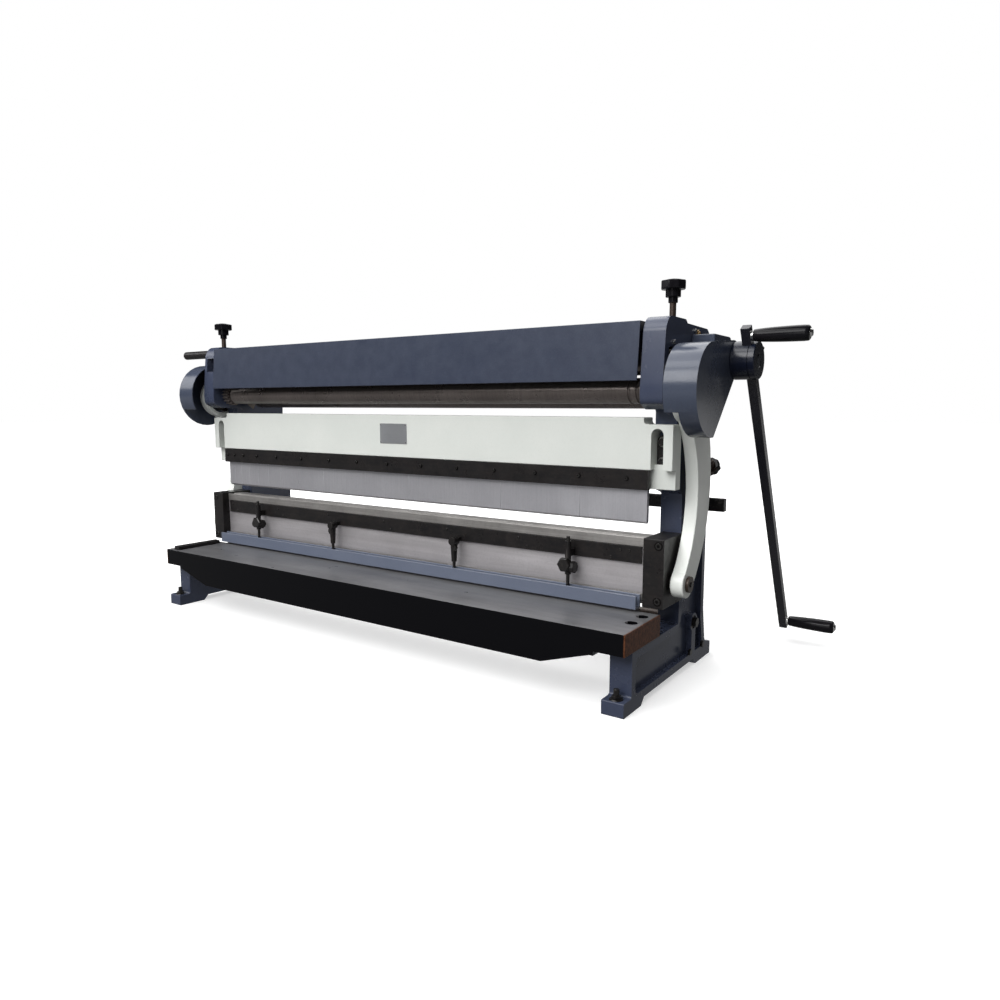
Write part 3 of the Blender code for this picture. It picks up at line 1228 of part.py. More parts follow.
def cover_outline(inset):
    big = Vector((-SHAFT_FRONT, SHAFT_HEIGHT))
    small = Vector((COVER_TAIL_BACK, COVER_TAIL_HEIGHT))
    big_radius = COVER_RADIUS - inset
    small_radius = COVER_TAIL_RADIUS - inset
    top = tangent_points(big, big_radius, small, small_radius, 1)
    corner = COVER_CORNER + 2 * math.pi
    start = big + Vector((math.cos(corner), math.sin(corner))) * big_radius
    span = small - start
    lower = math.atan2(span.y, span.x) - math.asin(small_radius / span.length) - math.pi / 2
    points = arc(big, big_radius, top, corner, ARC_STEPS * 7)
    points += arc(small, small_radius, lower, top, ARC_STEPS * 3)
    return points


def make_right_cover():
    cover = plate("gear_cover_right", cover_outline(0), "YZ", RIGHT_COVER_START, RIGHT_COVER_END)
    inside = plate("cover_inside", cover_outline(COVER_WALL), "YZ", RIGHT_COVER_START - OVERRUN,
                   RIGHT_COVER_END - COVER_WALL)
    axis = pinion_axis()
    pin = idler_axis()
    cut(cover, inside)
    fuse(cover, cross_rod("idler_pin", (GEAR_START, RIGHT_COVER_END - COVER_WALL / 2), pin.yz,
                          IDLER_PIN_RADIUS))
    back = COVER_TAIL_BACK + COVER_TAIL_RADIUS + OVERRUN
    low = SHAFT_HEIGHT - COVER_RADIUS - OVERRUN
    high = SHAFT_HEIGHT + COVER_RADIUS * 2
    way = ARM_OUTER + ARM_CLEARANCE
    cut(cover,
        cross_rod("shaft_hole", (RIGHT_COVER_START, RIGHT_COVER_END + OVERRUN), axis.yz,
                  PINION_SHAFT_RADIUS + RUN),
        box("arm_way", (RIGHT_COVER_START - OVERRUN, way),
            (-SHAFT_FRONT - COVER_RADIUS - OVERRUN, back), (low, SHAFT_HEIGHT - COVER_CUT_DROP)),
        box("arm_way_back", (RIGHT_COVER_START - OVERRUN, way), (-SHAFT_FRONT, back),
            (low, SHAFT_HEIGHT + COVER_CUT_RISE)),
        box("bracket_way", (RIGHT_COVER_START - OVERRUN, BRACKET_END + FIT),
            (BRACKET_FRONT - FIT * 2, back), (low, high)))
    ease_edges(cover, EDGE)
    return finish(cover, PAINT_DARK, 0.2)


def make_left_cover():
    axis = shaft_axis()
    start = LEFT_COVER_START
    cover = cross_rod("arm_cover_left", (-start, -LEFT_COVER_END), axis.yz, COVER_RADIUS,
                      sides=FINE_SIDES)
    floor = LEFT_COVER_END - COVER_WALL
    low = SHAFT_HEIGHT - COVER_RADIUS - OVERRUN
    cut(cover,
        cross_rod("cover_inside", (-start + OVERRUN, -floor), axis.yz, COVER_RADIUS - COVER_WALL,
                  sides=FINE_SIDES),
        box("arm_way", (-start + OVERRUN, -floor),
            (axis.y - COVER_RADIUS - OVERRUN, axis.y + COVER_RADIUS + OVERRUN),
            (low, SHAFT_HEIGHT - COVER_CUT_DROP)),
        box("arm_way_back", (-start + OVERRUN, -floor), (axis.y, axis.y + COVER_RADIUS + OVERRUN),
            (low, SHAFT_HEIGHT + LEFT_COVER_CUT_RISE)))
    ease_edges(cover, EDGE / 2)
    return finish(cover, PAINT_DARK, 0.2)


def make_bracket():
    axis = pinion_axis()
    bracket = plate("pinion_bracket", rounded([
        (BRACKET_FRONT, BRACKET_BOTTOM, FRAME_FILLET),
        (BRACKET_BACK - BRACKET_BEHIND / 2, BRACKET_BOTTOM, FRAME_FILLET),
        (BRACKET_BACK, BRACKET_BOTTOM + BRACKET_BELOW, FRAME_FILLET),
        (BRACKET_BACK, BRACKET_TOP, FRAME_FILLET), (BRACKET_FRONT, BRACKET_TOP, EDGE),
    ]), "YZ", OUTER + FIT, BRACKET_END)
    cut(bracket, cross_rod("bracket_bore", (OUTER - OVERRUN, BRACKET_END + OVERRUN), axis.yz,
                           PINION_SHAFT_RADIUS + RUN))
    return finish(bracket, PAINT_DARK, 0.3)


def make_top_cover():
    # Folded sheet: a leaning front face, a flat top and a short rear skirt.
    front_low = (-TOP_COVER_FRONT, TOP_COVER_BOTTOM)
    front_high = (-TOP_COVER_FRONT + TOP_COVER_LEAN, TOP_COVER_TOP)
    back = -TOP_COVER_FRONT + TOP_COVER_DEPTH
    s = TOP_COVER_SHEET
    outline = [
        front_low, front_high, (back, TOP_COVER_TOP), (back, TOP_COVER_TOP - TOP_COVER_SKIRT),
        (back - s, TOP_COVER_TOP - TOP_COVER_SKIRT), (back - s, TOP_COVER_TOP - s),
        (front_high[0] + s, TOP_COVER_TOP - s), (front_low[0] + s, TOP_COVER_BOTTOM),
    ]
    end = INNER - TOP_COVER_END_GAP
    cover = plate("top_cover", outline, "YZ", -end, end)
    return finish(cover, PAINT_DARK, 0.35)


# Crank

def crank_down():
    return Vector((0, math.sin(CRANK_ANGLE), -math.cos(CRANK_ANGLE)))


def make_hub():
    axis = pinion_axis()
    start = HUB_START
    hub = turned("crank_hub", [
        (0, 0), (0, HUB_RADIUS - EDGE), (EDGE, HUB_RADIUS), (HUB_WIDTH - EDGE, HUB_RADIUS),
        (HUB_WIDTH, HUB_RADIUS - EDGE), (HUB_WIDTH, 0),
    ], (start, axis.y, axis.z), (1, 0, 0), FINE_SIDES)
    half = CRANK_BAR_SIZE / 2 + FIT
    way = box("bar_way", (CRANK_BAR_PLACE - half, CRANK_BAR_PLACE + half), (-half, half),
              (-HUB_RADIUS - OVERRUN, HUB_RADIUS + OVERRUN))
    way.data.transform(Matrix.Translation(axis) @ Matrix.Rotation(CRANK_ANGLE, 4, "X"))
    cut(hub, way, rod("hub_bore", (start - OVERRUN, axis.y, axis.z), (CRANK_BAR_PLACE, axis.y, axis.z),
                      PINION_SHAFT_RADIUS + FIT))
    return finish(hub, PAINT_DARK, 0.3)


def make_crank_bar():
    # The square bar through the hub, with the two spindles that its grips turn on.
    axis = pinion_axis()
    half = CRANK_BAR_SIZE / 2
    bar = box("crank_bar", (CRANK_BAR_PLACE - half, CRANK_BAR_PLACE + half), (-half, half),
              (-GRIP_OUTER_PLACE - CRANK_BAR_END, GRIP_INNER_PLACE + CRANK_BAR_END))
    bar.data.transform(Matrix.Translation(axis) @ Matrix.Rotation(CRANK_ANGLE, 4, "X"))
    ease_edges(bar, EDGE / 2)
    face = CRANK_BAR_PLACE + half
    collar = face + SPINDLE_COLLAR_WIDTH
    end = collar + FIT + GRIP_LENGTH + FIT
    for where in grip_places():
        fuse(bar,
             cross_rod("spindle_collar", (face - EDGE, collar), where.yz, SPINDLE_COLLAR_RADIUS),
             cross_rod("spindle", (face, end + EDGE), where.yz, SPINDLE_RADIUS, sides=SIDES // 2),
             cross_rod("spindle_nut", (end, end + SPINDLE_NUT_THICK), where.yz,
                       SPINDLE_NUT_RADIUS, SPINDLE_NUT_TIP, sides=SIDES // 2))
    return finish(bar, PAINT_DARK, 0.35)


def grip_places():
    axis = pinion_axis()
    return [axis - crank_down() * GRIP_INNER_PLACE, axis + crank_down() * GRIP_OUTER_PLACE]


def make_grip(name, where):
    face = CRANK_BAR_PLACE + CRANK_BAR_SIZE / 2 + SPINDLE_COLLAR_WIDTH + FIT
    bore = SPINDLE_RADIUS + RUN
    radii = (GRIP_START_RADIUS + EDGE / 2, GRIP_RADIUS - EDGE / 2, GRIP_RADIUS, GRIP_RADIUS - EDGE / 4)
    swell = [(GRIP_LENGTH * share, radius) for share, radius in zip(GRIP_SHARES, radii)]
    ends = [(GRIP_LENGTH, GRIP_END_RADIUS), (GRIP_LENGTH, bore)]
    profile = [(0, bore), (0, GRIP_START_RADIUS), *swell, *ends]
    grip = turned(name, profile, (face, where.y, where.z), (1, 0, 0), SIDES)
    return finish(grip, BLACK_PLASTIC, 0.3)


# Rear stop, tie rod and release bar

def make_rear_pieces():
    height = STOP_MIDDLE
    reach = OUTER + STOP_OVERHANG
    stop = box("rear_stop", (-reach, reach), (STOP_FRONT, STOP_FRONT + STOP_THICK),
               (STOP_BOTTOM, STOP_BOTTOM + STOP_HEIGHT))
    for side in (-1, 1):
        fuse(stop, rod("stop_rod", (side * MIDDLE, STOP_ROD_START + EDGE, height),
                       (side * MIDDLE, STOP_FRONT + STOP_THICK / 2, height), STOP_ROD_RADIUS,
                       sides=SIDES // 2))
    finish(stop, BLACK_OXIDE, 0.4, 0.5)
    tie = turned("tie_rod", [
        (0, 0), (0, TIE_ROD_RADIUS), (OUTER * 2 - EDGE * 2, TIE_ROD_RADIUS), (OUTER * 2 - EDGE * 2, 0),
    ], (-OUTER + EDGE, TIE_ROD_BACK, TIE_ROD_HEIGHT), (1, 0, 0))
    finish(tie, DARK_STEEL, 0.45, 1.0)
    release = turned("release_bar", [
        (0, 0), (0, RELEASE_RADIUS), (RELEASE_LENGTH - EDGE, RELEASE_RADIUS),
        (RELEASE_LENGTH, RELEASE_RADIUS - EDGE), (RELEASE_LENGTH, 0),
    ], (-OUTER + FRAME_THICK / 2 - FIT, -RELEASE_FRONT, RELEASE_HEIGHT), (-1, 0, 0), SIDES)
    finish(release, BLACK_OXIDE, 0.35, 0.6)
    return stop


# Bodies: an empty stands on each joint's axis and carries what moves with it

def empty(name, place, parent=None):
    made = bpy.data.objects.new(name, None)
    bpy.data.collections["combination_sheet_metal_machine"].objects.link(made)
    made["place"] = tuple(place)
    hang(made, parent, Vector(place))
    return made


def hang(child, parent, place):
    child.location = place
    if parent:
        child.parent = parent
        child.location = place - Vector(parent["place"])


def carry(parent, pieces, origin=None):
    # Puts each piece's origin on the joint's axis, and hangs it and its cutters on the body's empty.
    place = Vector(parent["place"]) if origin is None else Vector(origin)
    for piece in pieces:
        tools = [change.object for change in piece.modifiers if change.type == "BOOLEAN"]
        piece.data.transform(Matrix.Translation(-place))
        hang(piece, parent, place)
        carry(parent, tools, place)


def print_joint(name, place, axis):
    words = ", ".join(f"{value:.6f}" for value in (*place, *axis))
    print("joint", name, words)


def centre_machine(machine):
    # Stands the machine's box centred over the origin.
    bpy.context.view_layer.update()
    graph = bpy.context.evaluated_depsgraph_get()
    corners = []
    for piece in bpy.data.collections["combination_sheet_metal_machine"].objects:
        if piece.type == "MESH":
            mesh = piece.evaluated_get(graph).to_mesh()
            corners += [piece.matrix_world @ vertex.co for vertex in mesh.vertices]
            piece.evaluated_get(graph).to_mesh_clear()
    low = Vector([min(corner[k] for corner in corners) for k in range(3)])
    high = Vector([max(corner[k] for corner in corners) for k in range(3)])
    machine.location = (-(low.x + high.x) / 2, -(low.y + high.y) / 2, -low.z)
    print("machine offset", [round(value, 6) for value in machine.location])
    print("size", [round(value, 5) for value in high - low])


def build():
    clear_scene()
    machine = empty("machine", (0, 0, 0))
    for side in (-1, 1):
        make_frame(side)
    make_table()
    make_beam()
    make_fingers()
    make_right_cover()
    make_left_cover()
    make_bracket()
    make_top_cover()

    axis = shaft_axis()
    pivot = Vector((0, -ARM_PIVOT_FRONT, ARM_PIVOT_HEIGHT))
    ram = empty("ram_body", (0, 0, RAM_TOP), machine)
    carry(ram, make_ram() + make_plungers())
    hold = empty("hold_down_body", (0, -PLUNGER_FRONT, HOLD_TOP), machine)
    carry(hold, [make_hold_down()])
    shaft = empty("main_shaft_body", axis, machine)
    carry(shaft, make_lower_roll())
    for side in (-1, 1):
        arm = make_arm(side)
        joint = pivot + Vector((side * (OUTER + ARM_OFFSET), 0, 0))
        carry(empty(arm.name + "_body", joint, ram), [arm])
    lift = empty("upper_roll_lift", upper_roll_axis(), machine)
    carry(lift, [make_upper_block(side) for side in (-1, 1)])
    carry(empty("upper_roll_body", upper_roll_axis(), lift), [make_upper_roll()])
    for side in (-1, 1):
        knob = make_top_knob(side)
        top = (side * TOP_SCREW_PLACE, -TOP_SCREW_FRONT, KNOB_TOP)
        carry(empty(knob.name + "_body", top, machine), [knob])
    rear = empty("rear_roll_slide", (0, REAR_ROLL_BACK, REAR_ROLL_HEIGHT), machine)
    carry(rear, [make_rear_block(side) for side in (-1, 1)])
    carry(empty("rear_roll_body", (0, REAR_ROLL_BACK, REAR_ROLL_HEIGHT), rear), [make_rear_roll()])
    for side in (-1, 1):
        knob = make_rear_knob(side)
        place = (side * MIDDLE, REAR_KNOB_BACK, REAR_KNOB_HEIGHT)
        carry(empty(knob.name + "_body", place, machine), [knob])
    carry(empty("idler_body", idler_axis(), machine), [make_idler()])
    crank = empty("crank_body", pinion_axis(), machine)
    carry(crank, [make_pinion(), make_hub(), make_crank_bar()])
    for name, where in zip(("upper_grip", "lower_grip"), grip_places()):
        carry(empty(name + "_body", where, crank), [make_grip(name, where)])
    carry(empty("rear_stop_body", (0, STOP_FRONT, STOP_BOTTOM), machine), [make_rear_pieces()])

    for piece in list(bpy.data.objects):
        if piece.parent is None and piece is not machine:
            piece.parent = machine
    centre_machine(machine)
    bpy.context.view_layer.update()
    for piece in bpy.data.objects:
        if piece.type == "EMPTY":
            print_joint(piece.name, piece.matrix_world.translation, (1, 0, 0))
    print_joint("rear_direction", (0, 0, 0), rear_direction())


build()
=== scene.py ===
import math

import bmesh
import bpy
from mathutils import Euler, Matrix, Vector
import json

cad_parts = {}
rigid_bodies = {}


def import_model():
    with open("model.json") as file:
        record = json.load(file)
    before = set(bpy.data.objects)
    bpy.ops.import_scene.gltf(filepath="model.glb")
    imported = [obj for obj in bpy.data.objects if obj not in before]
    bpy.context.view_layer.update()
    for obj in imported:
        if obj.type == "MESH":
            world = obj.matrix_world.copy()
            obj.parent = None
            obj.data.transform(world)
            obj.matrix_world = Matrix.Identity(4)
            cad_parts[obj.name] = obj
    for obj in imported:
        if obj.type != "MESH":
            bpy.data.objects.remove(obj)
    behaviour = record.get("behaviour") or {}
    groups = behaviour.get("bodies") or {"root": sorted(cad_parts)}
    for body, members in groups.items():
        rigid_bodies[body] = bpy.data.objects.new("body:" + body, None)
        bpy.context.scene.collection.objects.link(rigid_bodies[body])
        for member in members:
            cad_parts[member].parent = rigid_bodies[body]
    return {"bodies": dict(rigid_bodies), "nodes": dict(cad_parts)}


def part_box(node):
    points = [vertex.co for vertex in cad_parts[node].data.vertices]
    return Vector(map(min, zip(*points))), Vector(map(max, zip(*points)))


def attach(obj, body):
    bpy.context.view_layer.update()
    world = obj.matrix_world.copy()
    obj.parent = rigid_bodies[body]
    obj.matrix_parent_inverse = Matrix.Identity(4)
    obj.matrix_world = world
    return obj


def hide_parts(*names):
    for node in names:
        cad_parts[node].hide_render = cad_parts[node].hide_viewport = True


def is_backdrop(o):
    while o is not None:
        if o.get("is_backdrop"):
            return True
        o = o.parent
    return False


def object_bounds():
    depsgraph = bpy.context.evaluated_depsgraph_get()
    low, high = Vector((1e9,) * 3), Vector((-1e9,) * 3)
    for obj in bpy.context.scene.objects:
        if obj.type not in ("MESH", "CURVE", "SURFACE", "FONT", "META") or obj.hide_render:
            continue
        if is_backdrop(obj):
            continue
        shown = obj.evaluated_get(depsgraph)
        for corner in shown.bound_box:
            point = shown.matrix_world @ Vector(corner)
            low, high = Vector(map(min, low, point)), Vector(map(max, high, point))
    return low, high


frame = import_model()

# Combination sheet metal machine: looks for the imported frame.
# Places are in millimetres from the middle of the machine, the ram's guide faces and the bench.
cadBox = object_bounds()
scene = bpy.context.scene
nodes = frame["nodes"]
homes = {empty: bodyName for bodyName, empty in frame["bodies"].items()}
beamLow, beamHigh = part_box("upper_beam")
beamReach = 0.0804  # from the beam's front face back to the guide faces, in metres
machine = Vector(((beamLow.x + beamHigh.x) / 2, beamLow.y + beamReach, 0))


def place(x, y, z):
    return machine + Vector((x, y, z)) / 1000


# Camera, at the photograph's viewing angle
view = {
    "x": 1253.9, "y": -1441.0, "height": 561.0, "turn": 34.62, "tilt": 7.22,
    "lens": 27.061, "sensor": 36, "farthest": 60,
}
cameraData = bpy.data.cameras.new("camera")
cameraData.sensor_width = view["sensor"]
cameraData.lens = view["lens"]
cameraData.clip_end = view["farthest"]
camera = bpy.data.objects.new("camera", cameraData)
camera.location = place(view["x"], view["y"], view["height"])
camera.rotation_euler = Euler((math.radians(90 - view["tilt"]), 0, math.radians(view["turn"])))
scene.collection.objects.link(camera)
scene.camera = camera
scene.view_settings.view_transform = "Standard"
print("stage: camera placed")


# Materials: every look is a dictionary, and surface() turns it into nodes
def addNode(tree, kind, settings=None, **inputs):
    node = tree.nodes.new(kind)
    for key, value in (settings or {}).items():
        setattr(node, key, value)
    for key, value in inputs.items():
        node.inputs[key.replace("_", " ")].default_value = value
    return node


def noise(tree, vector, scale, detail, roughness=0.55):
    node = addNode(tree, "ShaderNodeTexNoise", Scale=scale, Detail=detail, Roughness=roughness)
    tree.links.new(vector, node.inputs["Vector"])
    return node.outputs["Fac"]


def ranged(tree, value, low, high, toLow, toHigh):
    node = addNode(tree, "ShaderNodeMapRange", From_Min=low, From_Max=high, To_Min=toLow, To_Max=toHigh)
    tree.links.new(value, node.inputs["Value"])
    return node.outputs["Result"]


def mixed(tree, factor, first, second):
    node = addNode(tree, "ShaderNodeMix", {"data_type": "RGBA"})
    tree.links.new(factor, node.inputs[0])
    for socket, value in ((node.inputs[6], first), (node.inputs[7], second)):
        if isinstance(value, bpy.types.NodeSocket):
            tree.links.new(value, socket)
        else:
            socket.default_value = (*value, 1)
    return node.outputs[2]


# What a look has unless it says otherwise; scales are in turns a metre, depth is in metres
usual = {
    "metallic": 0, "specular": 0.5, "coat": 0, "coatRough": 0.08, "rough": (0.3, 0.45),
    "patchScale": 7, "fleckScale": 260, "fleckMix": 0.4, "bumpScale": 420, "bump": 0.15, "depth": 0.0004,
    "lineMix": 0.5, "wearMix": 0.8,
}
# Between which noise values each layer comes in
layers = {
    "patch": (0.35, 0.68), "fleck": (0.5, 0.78), "lines": (0.32, 0.7), "chips": (0.5, 0.62),
    "blotch": (0.3, 0.72), "rust": (0.35, 0.7),
}
# Detail of a noise where the look has its scale, or else scale, detail and roughness
grains = {
    "patch": 4, "fleck": 2, "bump": 2, "lines": (1, 4, 0.7), "chips": (45, 5, 0.7), "blotch": (22, 5, 0.65),
}
# Where a machined casting changes its finish, by its normal or by metres from its ends, and its rust's noise
castSides = {"front": (-0.45, -0.6), "top": (0.6, 0.75), "end": (-0.004, -0.002), "rust": (160, 3)}


def surface(name, look):
    look = {**usual, **look}
    material = bpy.data.materials.new(name)
    material.use_nodes = True
    tree = material.node_tree
    link = tree.links.new
    shader = tree.nodes["Principled BSDF"]
    shader.inputs["Metallic"].default_value = look["metallic"]
    shader.inputs["Specular IOR Level"].default_value = look["specular"]
    shader.inputs["Coat Weight"].default_value = look["coat"]
    shader.inputs["Coat Roughness"].default_value = look["coatRough"]
    coords = addNode(tree, "ShaderNodeTexCoord").outputs["Object"]
    # Broad patches, then fine flecks, then lines where the surface was ground or turned
    patch = ranged(tree, noise(tree, coords, look["patchScale"], grains["patch"]), *layers["patch"], 0, 1)
    colour = mixed(tree, patch, look["base"], look["patch"])
    fleck = noise(tree, coords, look["fleckScale"], grains["fleck"])
    fleck = ranged(tree, fleck, *layers["fleck"], 0, look["fleckMix"])
    colour = mixed(tree, fleck, colour, look["fleck"])
    if "lines" in look:
        stretch = addNode(tree, "ShaderNodeMapping", Scale=look["lines"])
        link(coords, stretch.inputs["Vector"])
        height = noise(tree, stretch.outputs["Vector"], *grains["lines"])
        line = ranged(tree, height, *layers["lines"], 0, look["lineMix"])
        colour = mixed(tree, line, colour, look["line"])
    else:
        height = noise(tree, coords, look["bumpScale"], grains["bump"])
    if "front" in look:
        # Machined castings: black front, bright top, rusty end faces
        facing = addNode(tree, "ShaderNodeSeparateXYZ")
        link(addNode(tree, "ShaderNodeNewGeometry").outputs["True Normal"], facing.inputs[0])
        front = ranged(tree, facing.outputs["Y"], *castSides["front"], 0, 1)
        spot = addNode(tree, "ShaderNodeSeparateXYZ")
        link(coords, spot.inputs[0])
        fromMiddle = addNode(tree, "ShaderNodeMath", {"operation": "SUBTRACT"})
        link(spot.outputs["X"], fromMiddle.inputs[0])
        fromMiddle.inputs[1].default_value = machine.x
        reach = addNode(tree, "ShaderNodeMath", {"operation": "ABSOLUTE"})
        link(fromMiddle.outputs[0], reach.inputs[0])
        starts, full = castSides["end"]
        ends = ranged(tree, reach.outputs[0], look["endAt"] + starts, look["endAt"] + full, 0, 1)
        colour = mixed(tree, front, colour, look["front"])
        bare = ranged(tree, facing.outputs["Z"], *castSides["top"], 0, look["metallic"])
        link(bare, shader.inputs["Metallic"])
        rust = ranged(tree, noise(tree, coords, *castSides["rust"]), *layers["rust"], 0, 1)
        colour = mixed(tree, ends, colour, mixed(tree, rust, look["end"], look["endPatch"]))
    if "wear" in look:
        worn = addNode(tree, "ShaderNodeAttribute", {"attribute_name": "wear"}).outputs["Fac"]
        chips = ranged(tree, noise(tree, coords, *grains["chips"]), *layers["chips"], 0, look["wearMix"])
        both = addNode(tree, "ShaderNodeMath", {"operation": "MULTIPLY"})
        link(worn, both.inputs[0])
        link(chips, both.inputs[1])
        colour = mixed(tree, both.outputs[0], colour, look["wear"])
    link(colour, shader.inputs["Base Color"])
    blotch = noise(tree, coords, *grains["blotch"])
    link(ranged(tree, blotch, *layers["blotch"], *look["rough"]), shader.inputs["Roughness"])
    bump = addNode(tree, "ShaderNodeBump", Strength=look["bump"], Distance=look["depth"])
    link(height, bump.inputs["Height"])
    link(bump.outputs["Normal"], shader.inputs["Normal"])
    return material


